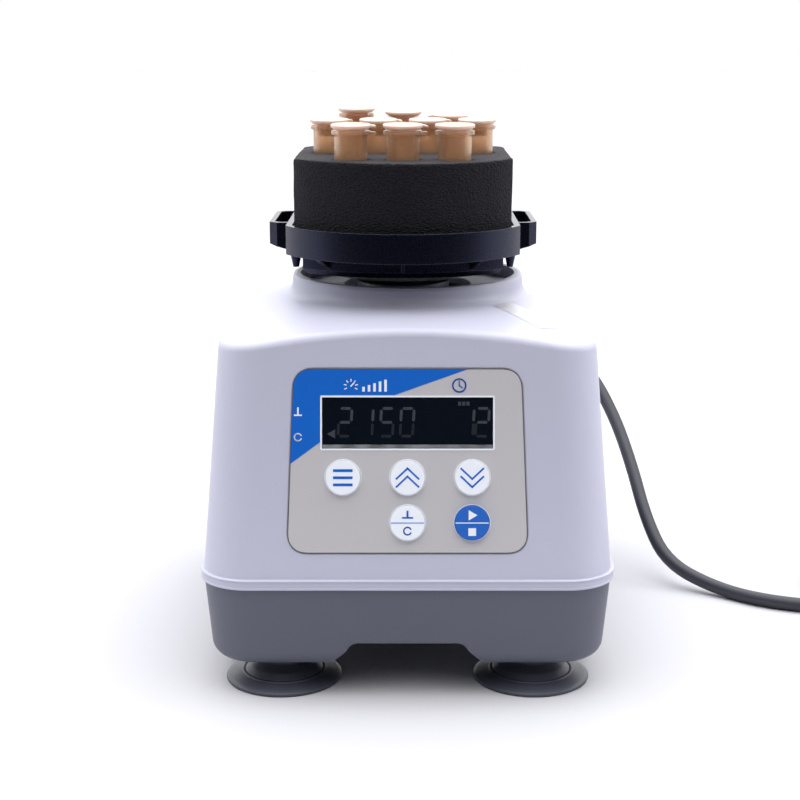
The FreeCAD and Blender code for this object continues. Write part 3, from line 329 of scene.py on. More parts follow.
# %% [markdown]
# ## Floor, backdrop and light
# The photograph is a product shot on a white sheet, lit from a bright ceiling. The room in front is dark,
# so the upright faces are lit mostly by the sheet, and black faces stay black. The sky is a sum of two
# gradients, a ceiling straight overhead and a lit backdrop behind, and is a little brighter on the right.
# To the camera and through the tubes it is plain white. Two weak boxes lift the sides.

# %% World
bpy.context.scene.view_settings.view_transform = "Standard"
world = bpy.data.worlds.new("studio")
bpy.context.scene.world = world
world.use_nodes = True
tree = world.node_tree
tree.nodes.clear()
way = add(tree, "ShaderNodeSeparateXYZ", {
    "Vector": add(tree, "ShaderNodeTexCoord").outputs["Generated"],
})
# Each row: the axis, where the gradient starts and ends on it, its two strengths and how it is joined.
SKY = {"ceiling": ("Z", 0.5, 1.0, 0.04, 4.2, "ADD"),
       "backdrop": ("Y", 0.1, 1.0, 0.0, 1.9, "ADD"),
       "right": ("X", -1.0, 1.0, 0.93, 1.07, "MULTIPLY")}
sky = 0.0
for axis, start, end, low, high, how in SKY.values():
    part = add(tree, "ShaderNodeMapRange", {
        "Value": way.outputs[axis], "From Min": start, "From Max": end, "To Min": low, "To Max": high,
    })
    sky = add(tree, "ShaderNodeMath", {0: sky, 1: part.outputs["Result"]}, operation=how).outputs["Value"]
rays = add(tree, "ShaderNodeLightPath")
seen = add(tree, "ShaderNodeMath", {
    0: rays.outputs["Is Camera Ray"], 1: rays.outputs["Is Transmission Ray"],
}, operation="MAXIMUM")
ambient = add(tree, "ShaderNodeBackground", {"Color": linear("#FFFFFF"), "Strength": sky})
white = add(tree, "ShaderNodeBackground", {"Color": (1, 1, 1, 1), "Strength": 1.0})
choice = add(tree, "ShaderNodeMixShader", {0: seen.outputs["Value"], 1: ambient.outputs["Background"],
                                          2: white.outputs["Background"]})
add(tree, "ShaderNodeOutputWorld", {"Surface": choice.outputs["Shader"]})
print("sky", SKY)

# %% Floor
material = bpy.data.materials.new("white_paper")
material.use_nodes = True
tree = material.node_tree
tree.nodes.clear()
paper = add(tree, "ShaderNodeBsdfDiffuse", {"Color": linear("#CBCBD0"), "Roughness": 0.5})
add(tree, "ShaderNodeOutputMaterial", {"Surface": paper.outputs["BSDF"]})

FLOOR_SIZE, FLOOR_FRONT = 8.0, -0.35
bpy.ops.mesh.primitive_plane_add(size=FLOOR_SIZE, location=(0, FLOOR_FRONT + FLOOR_SIZE / 2, 0))
floor = bpy.context.object
floor.name = "floor"
floor.data.materials.append(material)
floor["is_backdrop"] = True


def soft_box(name, at, power):
    """A rectangular lamp that faces the middle of the mixer."""
    data = bpy.data.lights.new(name, "AREA")
    data.shape = "RECTANGLE"
    data.size, data.size_y = 0.3, 0.5
    data.energy = power
    lamp = placed(name, data)
    aim = (Vector((0, 0, 0.09)) - Vector(at)).to_track_quat("-Z", "Y")
    lamp.matrix_world = Matrix.Translation(at) @ aim.to_matrix().to_4x4()


soft_box("left_box", (-0.75, 0.05, 0.45), 1.2)
soft_box("right_box", (0.75, 0.05, 0.45), 1.7)

# %% [markdown]
# ## Ways of making a piece
# A bmesh is a mesh under construction. One function closes it into an object with a finish and a body to
# ride on. Others join rows or rings of points by faces, and one turns a half section about the upright
# axis, as a lathe would, after rounding the corners that carry a radius.

# %% Mesh helpers
def meshed(name, bm):
    """Ends a bmesh as a mesh, its doubles merged and its faces pointing outwards."""
    bmesh.ops.remove_doubles(bm, verts=bm.verts, dist=1e-6)
    bmesh.ops.recalc_face_normals(bm, faces=bm.faces)
    mesh = bpy.data.meshes.new(name)
    bm.to_mesh(mesh)
    bm.free()
    return mesh


def piece(name, bm, finish, body, angle=35):
    """Ends a bmesh as a finished object that rides on a body of the model."""
    return shown(name, meshed(name, bm), finish, body, angle)


def evaluated(made):
    """The plain mesh that an object's modifiers or curve give."""
    bpy.context.view_layer.update()
    return bpy.data.meshes.new_from_object(made.evaluated_get(bpy.context.evaluated_depsgraph_get()))


def shown(name, mesh, finish, body, angle=35):
    """Shows a mesh in a finish, smooth but for its sharp edges, on a body."""
    made = placed(name, mesh)
    mesh.materials.clear()
    mesh.materials.append(finish)
    mesh.shade_smooth()
    mesh.set_sharp_from_angle(angle=math.radians(angle))
    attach(made, body)
    return made


def webbed(bm, rows):
    """Joins each row of points to the next by four-cornered faces."""
    for a, b in zip(rows, rows[1:]):
        for i in range(len(a) - 1):
            bm.faces.new((a[i], b[i], b[i + 1], a[i + 1]))


def lofted(bm, rings):
    """Joins closed rings of equal count by walls and closes both ends."""
    webbed(bm, [ring + ring[:1] for ring in rings])
    bm.faces.new(rings[0])
    bm.faces.new(list(reversed(rings[-1])))


def softened(corners, steps=3):
    """Rounds each corner that has a third number, its radius."""
    out = []
    for i, corner in enumerate(corners):
        here = Vector(corner[:2])
        if len(corner) == 2:
            out.append(here)
            continue
        before = Vector(corners[i - 1][:2])
        after = Vector(corners[(i + 1) % len(corners)][:2])
        back, on = (before - here), (after - here)
        half = max(back.angle(on) / 2, 0.05)
        reach = min(corner[2] / math.tan(half), back.length * 0.45, on.length * 0.45)
        start = here + back.normalized() * reach
        end = here + on.normalized() * reach
        for k in range(steps + 1):
            t = k / steps
            out.append(start * (1 - t) ** 2 + here * 2 * t * (1 - t) + end * t ** 2)
    return out


def lathe(bm, corners, steps=48, at=(0, 0, 0), closed=False):
    """A half section in millimetres, turned about the upright axis through a point in metres."""
    points = softened(corners)
    verts = [bm.verts.new((p.x * MM, 0, p.y * MM)) for p in points]
    ends = verts[1:] + verts[:1] if closed else verts[1:]
    edges = [bm.edges.new(pair) for pair in zip(verts, ends)]
    bmesh.ops.spin(bm, geom=verts + edges, cent=(0, 0, 0), axis=(0, 0, 1), angle=math.radians(360),
                   steps=steps, use_merge=True)
    bmesh.ops.translate(bm, vec=at, verts=bm.verts)


print("helpers ready")

# %% [markdown]
# ## The keypad's print
# The keypad leans back with the shell's face. Its print is ink a few hundredths of a millimetre thick: a
# blue field in the upper left corner that runs out along two slants, and the marks on the keys. A dark
# line round the edge is painted shade for the gap round the film. Each is a thin plate, laid out in the
# keypad's own plane and then moved there.

# %% The keypad's plane
SEAM_TOP, HALF_DEPTH, PANEL_HEIGHT = 40.5, 82.0, 76.6
LEAN = math.radians(12)
PANEL_UP = Vector((0, math.sin(LEAN), math.cos(LEAN)))
PANEL_OUT = Vector((0, -math.cos(LEAN), math.sin(LEAN)))
PANEL_AT = Vector((0, (PANEL_HEIGHT - SEAM_TOP) * math.tan(LEAN) - HALF_DEPTH, PANEL_HEIGHT)) * MM
PANEL_BOTTOM_HALF, PANEL_TOP_HALF, PANEL_HALF_TALL, PANEL_CORNER = 37.5, 35.4, 28.7, 6.5
FILM_OUT, KEY_OUT = 0.2, 1.2


def on_panel(x, up, out):
    """Millimetres along, up and out of the keypad, as a point of the model."""
    return PANEL_AT + Vector((x * MM, 0, 0)) + PANEL_UP * (up * MM) + PANEL_OUT * (out * MM)


def plate(bm, corners, out, thickness=0.05):
    """A flat outline on the keypad, given a thickness."""
    lofted(bm, [[bm.verts.new(on_panel(x, up, level)) for x, up in corners]
                for level in (out + thickness, out)])


def panel_outline(shrink):
    """The keypad's rounded outline, drawn in from its edge."""
    low, high, tall, r = (
        size - shrink for size in (PANEL_BOTTOM_HALF, PANEL_TOP_HALF, PANEL_HALF_TALL, PANEL_CORNER))
    corners = [(-low, -tall, r), (low, -tall, r), (high, tall, r), (-high, tall, r)]
    return [(p.x, p.y) for p in softened(corners, 8)]


print("keypad centre", [round(c, 4) for c in PANEL_AT])

# %% Edge line and blue field
LINE_OUTSIDE, LINE_INSIDE = 0.05, 0.3
# The dark line round the keypad is painted shade, for the gap where the film sits in its pocket.
bm = bmesh.new()
outer, inner = panel_outline(LINE_OUTSIDE), panel_outline(LINE_INSIDE)
rings = [[bm.verts.new(on_panel(x, up, out)) for x, up in ring]
         for ring, out in ((outer, FILM_OUT), (outer, FILM_OUT + 0.05), (inner, FILM_OUT + 0.05),
                           (inner, FILM_OUT))]
webbed(bm, [ring + ring[:1] for ring in rings + rings[:1]])
piece("keypad_edge_line", bm, painted_gap_shade, "housing")

# The field follows the keypad's upper left corner, then its two slants and the display's corner.
corner = [p for p in inner if p[0] < -27 and p[1] > 19]
corner.sort(key=lambda p: (p[0] + p[1]))
field = [(-36.3, -0.9)] + corner + [(18.6, 28.4), (-4.0, 20.4), (-27.0, 20.4), (-27.0, 5.9)]
bm = bmesh.new()
plate(bm, field, FILM_OUT)
piece("keypad_blue_field", bm, ink_blue, "housing")
print("print on the film:", len(field), "corners")

# %% [markdown]
# ## Signs beside the display
# Words are left off. Plain signs stand in their places, so the keypad has the same rhythm of print: a
# dial and a bar over the speed, a clock over the time, and two small marks for the two ways of running.

# %% Signs
def stroke(bm, points, width, out, thickness=0.05):
    """A line of even width through points, as one plate for each run."""
    for a, b in zip(points, points[1:]):
        a, b = Vector(a), Vector(b)
        along = (b - a).normalized()
        side = Vector((-along.y, along.x)) * width / 2
        a, b = a - along * width / 2, b + along * width / 2
        plate(bm, [a - side, b - side, b + side, a + side], out, thickness)


def arc(x, up, radius, start, end, steps=20):
    """Points round a centre, in degrees."""
    turns = [math.radians(start + (end - start) * k / steps) for k in range(steps + 1)]
    return [(x + radius * math.cos(t), up + radius * math.sin(t)) for t in turns]


SIGN_OUT = FILM_OUT + 0.05
DIAL_X, DIAL_UP, BARS_X, MODES_X = -17.5, 23.2, -13.6, -33.9
bm = bmesh.new()
for k in range(7):
    tick = math.radians(205 - k * 38.5)
    ends = [(DIAL_X + r * math.cos(tick), DIAL_UP + r * math.sin(tick)) for r in (1.5, 2.1)]
    stroke(bm, ends, 0.3, SIGN_OUT)
stroke(bm, [(DIAL_X, DIAL_UP), (DIAL_X + 1.0, DIAL_UP + 1.1)], 0.4, SIGN_OUT)
for k in range(5):
    x = BARS_X + k * 1.7
    stroke(bm, [(x, 21.9), (x, 22.6 + k * 0.55)], 0.8, SIGN_OUT)
stroke(bm, [(MODES_X, 14.6), (MODES_X, 16.4)], 0.5, SIGN_OUT)
stroke(bm, [(MODES_X - 1.0, 14.2), (MODES_X + 1.0, 14.2)], 0.5, SIGN_OUT)
stroke(bm, arc(MODES_X, 7.4, 1.1, 30, 330), 0.4, SIGN_OUT)
piece("keypad_white_signs", bm, ink_white, "housing")

CLOCK_X, CLOCK_UP = 16.0, 23.4
bm = bmesh.new()
stroke(bm, arc(CLOCK_X, CLOCK_UP, 2.0, 0, 360, 28), 0.45, SIGN_OUT)
stroke(bm, [(CLOCK_X, CLOCK_UP + 1.3), (CLOCK_X, CLOCK_UP), (CLOCK_X + 0.9, CLOCK_UP - 0.7)], 0.4, SIGN_OUT)
piece("keypad_clock_sign", bm, ink_blue, "housing")
print("signs on the film")

# %% [markdown]
# ## Key marks
# The keys carry marks that say what they do without words: three bars for the menu, double chevrons for
# up and down, a hand's touch over a loop for the mode, and a triangle over a square to start and stop.
# They ride on their keys, so they go in when a key is pressed.

# %% Key marks
KEY_COLUMN, UPPER_KEYS, LOWER_KEYS = 20, -5.1, -19.1
KEY_PLACES = {"menu_button": (-KEY_COLUMN, UPPER_KEYS), "up_button": (0, UPPER_KEYS),
              "down_button": (KEY_COLUMN, UPPER_KEYS), "mode_button": (0, LOWER_KEYS),
              "start_stop_button": (KEY_COLUMN, LOWER_KEYS)}


def chevrons(bm, x, up, sign):
    """Two chevrons, one over the other, that point up or down."""
    for reach in (2.9, 0.4):
        tip, foot = up + sign * reach, up + sign * (reach - 3.2)
        stroke(bm, [(x - 3.4, foot), (x, tip), (x + 3.4, foot)], 0.55, KEY_OUT)


x, up = KEY_PLACES["menu_button"]
bm = bmesh.new()
for k in (-1, 0, 1):
    stroke(bm, [(x - 2.6, up + k * 2.2), (x + 2.6, up + k * 2.2)], 0.85, KEY_OUT)
piece("menu_mark", bm, ink_blue, "menu_button")
for name, key, sign in (("up_mark", "up_button", 1), ("down_mark", "down_button", -1)):
    bm = bmesh.new()
    chevrons(bm, *KEY_PLACES[key], sign)
    piece(name, bm, ink_blue, key)
x, up = KEY_PLACES["mode_button"]
bm = bmesh.new()
stroke(bm, [(x - 5.0, up), (x + 5.0, up)], 0.25, KEY_OUT)
stroke(bm, [(x, up + 3.5), (x, up + 2.1)], 0.6, KEY_OUT)
stroke(bm, [(x - 1.5, up + 1.6), (x + 1.5, up + 1.6)], 0.5, KEY_OUT)
stroke(bm, arc(x, up - 2.5, 1.15, 30, 330), 0.42, KEY_OUT)
piece("mode_mark", bm, ink_blue, "mode_button")
x, up = KEY_PLACES["start_stop_button"]
bm = bmesh.new()
stroke(bm, [(x - 5.0, up), (x + 5.0, up)], 0.3, KEY_OUT)
plate(bm, [(x - 1.1, up + 0.8), (x + 1.6, up + 2.4), (x - 1.1, up + 4.0)], KEY_OUT)
plate(bm, [(x - 1.2, up - 4.0), (x + 1.2, up - 4.0), (x + 1.2, up - 1.6), (x - 1.2, up - 1.6)], KEY_OUT)
piece("start_stop_mark", bm, ink_white, "start_stop_button")
print(len(KEY_PLACES), "keys marked")

# %% [markdown]
# ## Rims of the keys
# Each cap stands in a ring of shadow with a pale printed rim round it. A torus-like ring follows a
# circle, once for each key, so a small Geometry Nodes tree makes all five: a circle for each point,
# swept to a ring.

# %% A tree for rings on the keypad
def tree_with(name, **kinds):
    """A Geometry Nodes tree with named inputs, a material among them, and the inputs' sockets."""
    tree = bpy.data.node_groups.new(name, "GeometryNodeTree")
    for label, kind in {"Geometry": "Geometry", **kinds, "Material": "Material"}.items():
        tree.interface.new_socket(label, in_out="INPUT", socket_type="NodeSocket" + kind)
    tree.interface.new_socket("Geometry", in_out="OUTPUT", socket_type="NodeSocketGeometry")
    return tree, tree.nodes.new("NodeGroupInput").outputs


def ended(tree, inputs, geometry):
    """Ends a tree: copies are made real and get their material."""
    real = add(tree, "GeometryNodeRealizeInstances", {"Geometry": geometry})
    painted = add(tree, "GeometryNodeSetMaterial", {"Geometry": real.outputs["Geometry"],
                                                   "Material": inputs["Material"]})
    add(tree, "NodeGroupOutput", {"Geometry": painted.outputs["Geometry"]})
    return tree


def wire_along(tree, curve, radius, resolution):
    """Sweeps a round wire along a curve."""
    section = add(tree, "GeometryNodeCurvePrimitiveCircle", {"Resolution": resolution, "Radius": radius})
    return add(tree, "GeometryNodeCurveToMesh", {"Curve": curve,
                                                "Profile Curve": section.outputs["Curve"]}).outputs["Mesh"]


def grown(name, base, tree, values, finish, body, angle=35):
    """Runs a tree on a mesh and keeps the plain result as a piece."""
    holder = placed(name + "_seed", base)
    modifier = holder.modifiers.new("tree", "NODES")
    modifier.node_group = tree
    for item in tree.interface.items_tree:
        if item.in_out == "INPUT" and item.name in values:
            modifier[item.identifier] = values[item.name]
    mesh = evaluated(holder)
    mesh.name = name
    bpy.data.objects.remove(holder)
    return shown(name, mesh, finish, body, angle)


def ring_tree():
    """A tree that sets a ring of round wire on each point."""
    tree, inputs = tree_with("rings_on_points", Radius="Float", Wire="Float", Turn="Rotation")
    circle = add(tree, "GeometryNodeCurvePrimitiveCircle", {"Resolution": 48, "Radius": inputs["Radius"]})
    spread = add(tree, "GeometryNodeInstanceOnPoints", {
        "Points": inputs["Geometry"], "Rotation": inputs["Turn"],
        "Instance": wire_along(tree, circle.outputs["Curve"], inputs["Wire"], 8),
    })
    return ended(tree, inputs, spread.outputs["Instances"])


seeds = bpy.data.meshes.new("key_places")
seeds.from_pydata([on_panel(x, up, FILM_OUT) for x, up in KEY_PLACES.values()], [], [])
grown("key_rims", seeds, ring_tree(), {
    "Radius": 5.62 * MM, "Wire": 0.13 * MM, "Turn": (math.radians(78), 0, 0), "Material": ink_white,
}, ink_white, "housing")
print("rims round", len(KEY_PLACES), "keys")

# %% [markdown]
# ## The display
# Behind the window lies a liquid-crystal display that is switched off. Its segments still show as faint
# grey bars, the upper ones paler. Six digits stand there in two groups, with a small arrow and three
# small marks. A number is made of up to seven segments, each a six-cornered bar, so one function draws
# any digit.

# %% Display frame and silver strip
GLASS_OUT, LCD_UP = 0.2, 11.8
FRAME_X, FRAME_TALL, FRAME_WIDE, FRAME_UP, FRAME_LINE = 26.75, 7.9, 26.5, 8.2, 0.55
STRIP_X, STRIP_LOW, STRIP_HIGH = 26.3, 4.0, 5.1
silver = metal("display_reflector", "window_dark", "#A9ACB2", 0.45, 3.0, depth=0.001)
bm = bmesh.new()
for x in (-FRAME_X, FRAME_X):
    stroke(bm, [(x, LCD_UP - FRAME_TALL), (x, LCD_UP + FRAME_TALL)], FRAME_LINE, FILM_OUT, 0.12)
for up in (LCD_UP - FRAME_UP, LCD_UP + FRAME_UP):
    stroke(bm, [(-FRAME_WIDE, up), (FRAME_WIDE, up)], FRAME_LINE, FILM_OUT, 0.12)
piece("display_white_frame", bm, ink_white, "housing")
bm = bmesh.new()
strip_corners = [(-STRIP_X, STRIP_LOW), (STRIP_X, STRIP_LOW), (STRIP_X, STRIP_HIGH), (-STRIP_X, STRIP_HIGH)]
plate(bm, strip_corners, GLASS_OUT, 0.03)
piece("display_silver_strip", bm, silver, "housing")
print("display framed")

# %% Digits
DIGITS = {"0": "abcdef", "1": "bc", "2": "abged", "5": "afgcd"}
DIGIT_WIDE, DIGIT_TALL, DIGIT_SLANT = 3.9, 8.6, 0.25
SEGMENT_WIDE, SEGMENT_GAP = 0.85, 0.25


def segment(bm, a, b):
    """One bar with pointed ends, a little short of both points."""
    along = (b - a).normalized()
    a, b = a + along * SEGMENT_GAP, b - along * SEGMENT_GAP
    side = Vector((-along.y, along.x)) * SEGMENT_WIDE / 2
    run = along * SEGMENT_WIDE / 2
    plate(bm, [a, a + run - side, b - run - side, b, b - run + side, a + run + side], GLASS_OUT, 0.02)


def digit(halves, which, x, up):
    """A seven-segment number centred on a place. Its upper and lower bars go to two meshes."""
    def at(i, k):
        return (x + (i - 0.5) * DIGIT_WIDE + k * DIGIT_SLANT, up + (k - 1) * DIGIT_TALL / 2)
    ends = {"a": (at(0, 2), at(1, 2)), "b": (at(1, 1), at(1, 2)), "c": (at(1, 0), at(1, 1)),
            "d": (at(0, 0), at(1, 0)), "e": (at(0, 0), at(0, 1)), "f": (at(0, 1), at(0, 2)),
            "g": (at(0, 1), at(1, 1))}
    for name in DIGITS[which]:
        segment(halves[name in "cde"], *map(Vector, ends[name]))


lcd_pale = moulded("display_segment", "window_dark", "#3B4046", 0.3, 2.0, 0.001, edge_mm=0.02)
lcd_faint = moulded("display_segment_faint", "window_dark", "#1F242B", 0.3, 2.0, 0.001, edge_mm=0.02)
halves = [bmesh.new(), bmesh.new()]
for which, x in zip("215012", (-19.6, -13.0, -6.6, -0.4, 18.2, 22.9)):
    digit(halves, which, x, LCD_UP + 0.2)
plate(halves[0], [(-24.9, 8.4), (-22.4, 7.0), (-22.4, 9.8)], GLASS_OUT, 0.02)
for k in range(3):
    x = 15.6 + k * 1.3
    plate(halves[0], [(x, 17.2), (x + 1.0, 17.2), (x + 1.0, 18.4), (x, 18.4)], GLASS_OUT, 0.02)
piece("display_digits_upper", halves[0], lcd_pale, "housing")
piece("display_digits_lower", halves[1], lcd_faint, "housing")
print("six digits")

# %% [markdown]
# ## A bare label
# A small silvered label lies on the crown at the right. It is left blank. The crown is a long arc turned
# about a low axis, so the label's height at each of its points comes from that same rule.

# %% Label on the crown
CROWN_TOP, CROWN_ACROSS, CROWN_ALONG = 121.3, 268.0, 440.0


def crown_height(x, y):
    """The height of the shell's top at a point, in millimetres."""
    across = CROWN_ACROSS - CROWN_ALONG + math.sqrt(CROWN_ALONG ** 2 - y ** 2)
    return CROWN_TOP - CROWN_ACROSS + math.sqrt(across ** 2 - x ** 2)


LABEL = ((28.3, -34.2), (34.4, -26.3), (50.0, -49.0), (42.2, -54.1))
LABEL_LONG, LABEL_SHORT, LABEL_OUT = 8, 4, 0.08
bm = bmesh.new()
grid = []
for i in range(LABEL_LONG + 1):
    row = []
    for k in range(LABEL_SHORT + 1):
        a = Vector(LABEL[0]).lerp(Vector(LABEL[3]), i / LABEL_LONG)
        b = Vector(LABEL[1]).lerp(Vector(LABEL[2]), i / LABEL_LONG)
        p = a.lerp(b, k / LABEL_SHORT)
        row.append(bm.verts.new((p.x * MM, p.y * MM, (crown_height(p.x, p.y) + LABEL_OUT) * MM)))
    grid.append(row)
webbed(bm, grid)
label = piece("blank_label", bm, silver_label, "housing")
print("label at", [round(c, 4) for c in label.data.vertices[0].co])

# %% [markdown]
# ## The collar's soft edges
# The collar that stands up from the crown is moulded with it, so its foot runs into the crown in a
# hollow curve and its rim is well rounded. A skin over the CAD collar carries both. Each of its points
# is given by a radius and by a height over the crown or over the bench.

# %% Collar
# The foot's heights are over the crown, and the rim's are over the bench.
FOOT = [(43.2, 0.02), (42.2, 0.15), (41.3, 0.5), (40.6, 1.1), (40.15, 1.9), (39.9, 2.8)]
RIM = [(39.75, 123.6), (39.5, 124.4), (39.0, 124.95), (38.3, 125.15), (37.6, 125.0), (37.1, 124.5),
       (36.95, 123.6), (36.95, 120.9)]
COLLAR_COLUMNS = 96
bm = bmesh.new()
columns = []
for k in range(COLLAR_COLUMNS):
    around = 2 * math.pi * k / COLLAR_COLUMNS
    column = []
    for radius, height in FOOT + RIM:
        x, y = radius * math.cos(around), radius * math.sin(around)
        z = crown_height(x, y) + height if (radius, height) in FOOT else height
        column.append(bm.verts.new((x * MM, y * MM, z * MM)))
    columns.append(column)
webbed(bm, columns + columns[:1])
collar = piece("collar_soft_edges", bm, shell_abs, "housing", 60)
print("collar", len(collar.data.polygons), "faces")

# %% [markdown]
# ## The bead's bright edges
# Where the shell meets the base it ends in a raised bead, whose two edges are rounded and catch the light
# as thin bright lines. The CAD shell is cut level at each edge's height, the longest loop of the cut is
# its outline, and Geometry Nodes sweep a small round wire along it.

# %% A tree that sweeps a wire along an outline
def wire_tree():
    """A tree that sweeps a round wire along a mesh of edges."""
    tree, inputs = tree_with("wire_along_outline", Radius="Float")
    line = add(tree, "GeometryNodeMeshToCurve", {"Mesh": inputs["Geometry"]})
    return ended(tree, inputs, wire_along(tree, line.outputs["Curve"], inputs["Radius"], 12))


def outline(node, height_mm, inset_mm):
    """The outer loop of a level cut through a CAD node, drawn in a little."""
    bm = bmesh.new()
    bm.from_mesh(nodes[node].data)
    bmesh.ops.remove_doubles(bm, verts=bm.verts, dist=1e-6)
    bmesh.ops.bisect_plane(bm, geom=bm.verts[:] + bm.edges[:] + bm.faces[:], dist=1e-7,
                           plane_co=(0, 0, height_mm * MM), plane_no=(0, 0, 1),
                           clear_inner=True, clear_outer=True)
    bmesh.ops.delete(bm, geom=bm.faces[:], context="FACES_ONLY")
    left, loops = set(bm.verts), []
    while left:
        group, reached = [], [left.pop()]
        while reached:
            v = reached.pop()
            group.append(v)
            for e in v.link_edges:
                other = e.other_vert(v)
                if other in left:
                    left.remove(other)
                    reached.append(other)
        loops.append(group)
    outer = max(loops, key=lambda g: max(v.co.x for v in g) - min(v.co.x for v in g))
    kept = set(outer)
    bmesh.ops.delete(bm, geom=[v for v in bm.verts if v not in kept], context="VERTS")
    for v in bm.verts:
        flat = Vector((v.co.x, v.co.y, 0))
        v.co -= flat.normalized() * inset_mm * MM
    return meshed("outline", bm)


BEAD_LINES = {"bead_upper_edge": 40.15, "bead_lower_edge": 37.7}
BEAD_WIRE, BEAD_INSET = 0.45, 0.25
wires = wire_tree()
for name, height in BEAD_LINES.items():
    made = grown(name, outline("top_housing", height, BEAD_INSET), wires,
                 {"Radius": BEAD_WIRE * MM, "Material": shell_abs}, shell_abs, "housing", 60)
    print(name, len(made.data.polygons), "faces")

# %% [markdown]
# ## Suction cups
# A suction cup is one rubber turning: a thin skirt that spreads to a flat lip, a fine ring where it
# thickens, and a neck. All four are alike, so Geometry Nodes sets one turned cup on four points.

# %% Suction cups
CUP_X, CUP_Y = 40.4, 60


def copies_tree():
    """A tree that sets a copy of one object on each point."""
    tree, inputs = tree_with("copies_on_points", Copy="Object")
    source = add(tree, "GeometryNodeObjectInfo", {"Object": inputs["Copy"]})
    spread = add(tree, "GeometryNodeInstanceOnPoints", {
        "Points": inputs["Geometry"], "Instance": source.outputs["Geometry"],
    })
    return ended(tree, inputs, spread.outputs["Instances"])


cup = [(3.1, 3.0), (9, 2.7, 1), (16.9, 0.02, 0.4), (18.5, 0.02, 0.3), (18.9, 0.5, 0.3),
       (18.8, 1.2, 0.4), (17.6, 1.75, 0.5), (13.8, 2.7, 0.3), (13.5, 3.05, 0.2), (13.0, 3.1, 0.2),
       (12.7, 2.95, 0.3), (10.9, 4.7, 2.0), (7.6, 6.6, 1.0), (7.0, 11.0), (3.1, 11.0)]
bm = bmesh.new()
lathe(bm, cup, 72, closed=True)
cup_source = placed("cup_source", meshed("cup", bm))
corners_mesh = bpy.data.meshes.new("cup_places")
corners_mesh.from_pydata([(x * MM, y * MM, 0) for x in (-CUP_X, CUP_X) for y in (-CUP_Y, CUP_Y)], [], [])
cups = grown("suction_cups", corners_mesh, copies_tree(), {"Copy": cup_source, "Material": cup_rubber},
             cup_rubber, "housing")
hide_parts("suction_feet")
bpy.data.objects.remove(cup_source)
print("cups", len(cups.data.polygons), "faces")

# %% [markdown]
# ## The foam insert
# The CAD solid has the right outline and holes but hard edges. A copy of it is remeshed in small voxels,
# which rounds every cut edge by about a millimetre, and each point is then moved a little by noise, as
# cut foam is never quite flat.

# %% Foam block
FOAM_VOXEL, FOAM_SWELL_MM, FOAM_SWELL_SPACING = 0.8, 0.2, 9
source = nodes["foam_insert"].data.copy()
bm = bmesh.new()
bm.from_mesh(source)
bmesh.ops.remove_doubles(bm, verts=bm.verts, dist=1e-5)
bm.to_mesh(source)
bm.free()
block = placed("foam_block", source)
voxels = block.modifiers.new("voxels", "REMESH")
voxels.mode = "VOXEL"
voxels.voxel_size = FOAM_VOXEL * MM
smooth = block.modifiers.new("smooth", "SMOOTH")
smooth.iterations = 2
smooth.factor = 0.5
foam_mesh = evaluated(block)
bpy.data.objects.remove(block)
outward = [v.normal.copy() for v in foam_mesh.vertices]
for v, normal in zip(foam_mesh.vertices, outward):
    swell = noise.noise(v.co * per_metre(FOAM_SWELL_SPACING)) * FOAM_SWELL_MM - 0.05
    v.co += normal * swell * MM
foam_piece = shown("foam_insert_block", foam_mesh, foam_black, "foam", 80)
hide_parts("foam_insert")
print("foam", len(foam_mesh.polygons), "faces")

# %% [markdown]
# ## Flip-cap tubes
# Each tube is a turned shell with a conical tip, and each lid is a turned disc with a plug. A strap joins
# them on one side. Lids and tubes are separate bodies, because a lid flips open, so there are twenty
# pieces, all from two half sections. The back row stands a little higher, and a closed lid leans a few
# degrees to the front, because its strap holds it up behind.

# %% Tubes and lids
PITCH, ROW, TOP, LENGTH, THROW = 16.8, 31.0, 175.2, 38.0, 1.5
LID_LEAN, BACK_RISE, STRAP_HALF = math.radians(3), 2.4, 1.7
# Each tube's row, its column in pitches from the middle, and the way that its strap points, in degrees.
RACK = [(row, column, turn)
        for row, columns, turns in ((-1, (-1, 0, 1), (8, 12, 75)),
                                    (0, (-1.5, -0.5, 0.5, 1.5), (20, 5, 12, 95)),
                                    (1, (-1, 0, 1), (95, 80, 175)))
        for column, turn in zip(columns, turns)]
tube_section = [(0, 0), (1.6, 0, 0.3), (2.2, 0.7, 0.5), (5.4, 17, 2), (5.4, 36.2, 0.3), (5.9, 36.6, 0.2),
                (6.3, 36.7, 0.2), (6.3, 38, 0.3), (4.4, 38, 0.3), (4.4, 17, 2), (1.3, 1.6, 0.6),
                (0, 1.6)]
lid_section = [(0, 0.7), (2.7, 0.7, 0.2), (2.75, -3.8, 0.2), (3.65, -3.8, 0.2), (4.28, 0.1, 0.2),
               (5.8, 0.1, 0.1), (5.8, 0.55, 0.2), (6.5, 0.6, 0.3), (6.5, 1.6, 0.4), (5.9, 1.7, 0.3),
               (5.5, 1.35, 0.3), (0, 1.25)]


def strap(bm, turn, at, runs):
    """A flat strap that follows runs of (reach, height, thickness), turned about the tube."""
    rings = []
    for reach, height, thick in runs:
        ring = [(reach, -STRAP_HALF, height), (reach, STRAP_HALF, height),
                (reach, STRAP_HALF, height + thick), (reach, -STRAP_HALF, height + thick)]
        rings.append([bm.verts.new(Matrix.Rotation(turn, 3, "Z") @ (Vector(c) * MM) + Vector(at))
                      for c in ring])
    lofted(bm, rings)


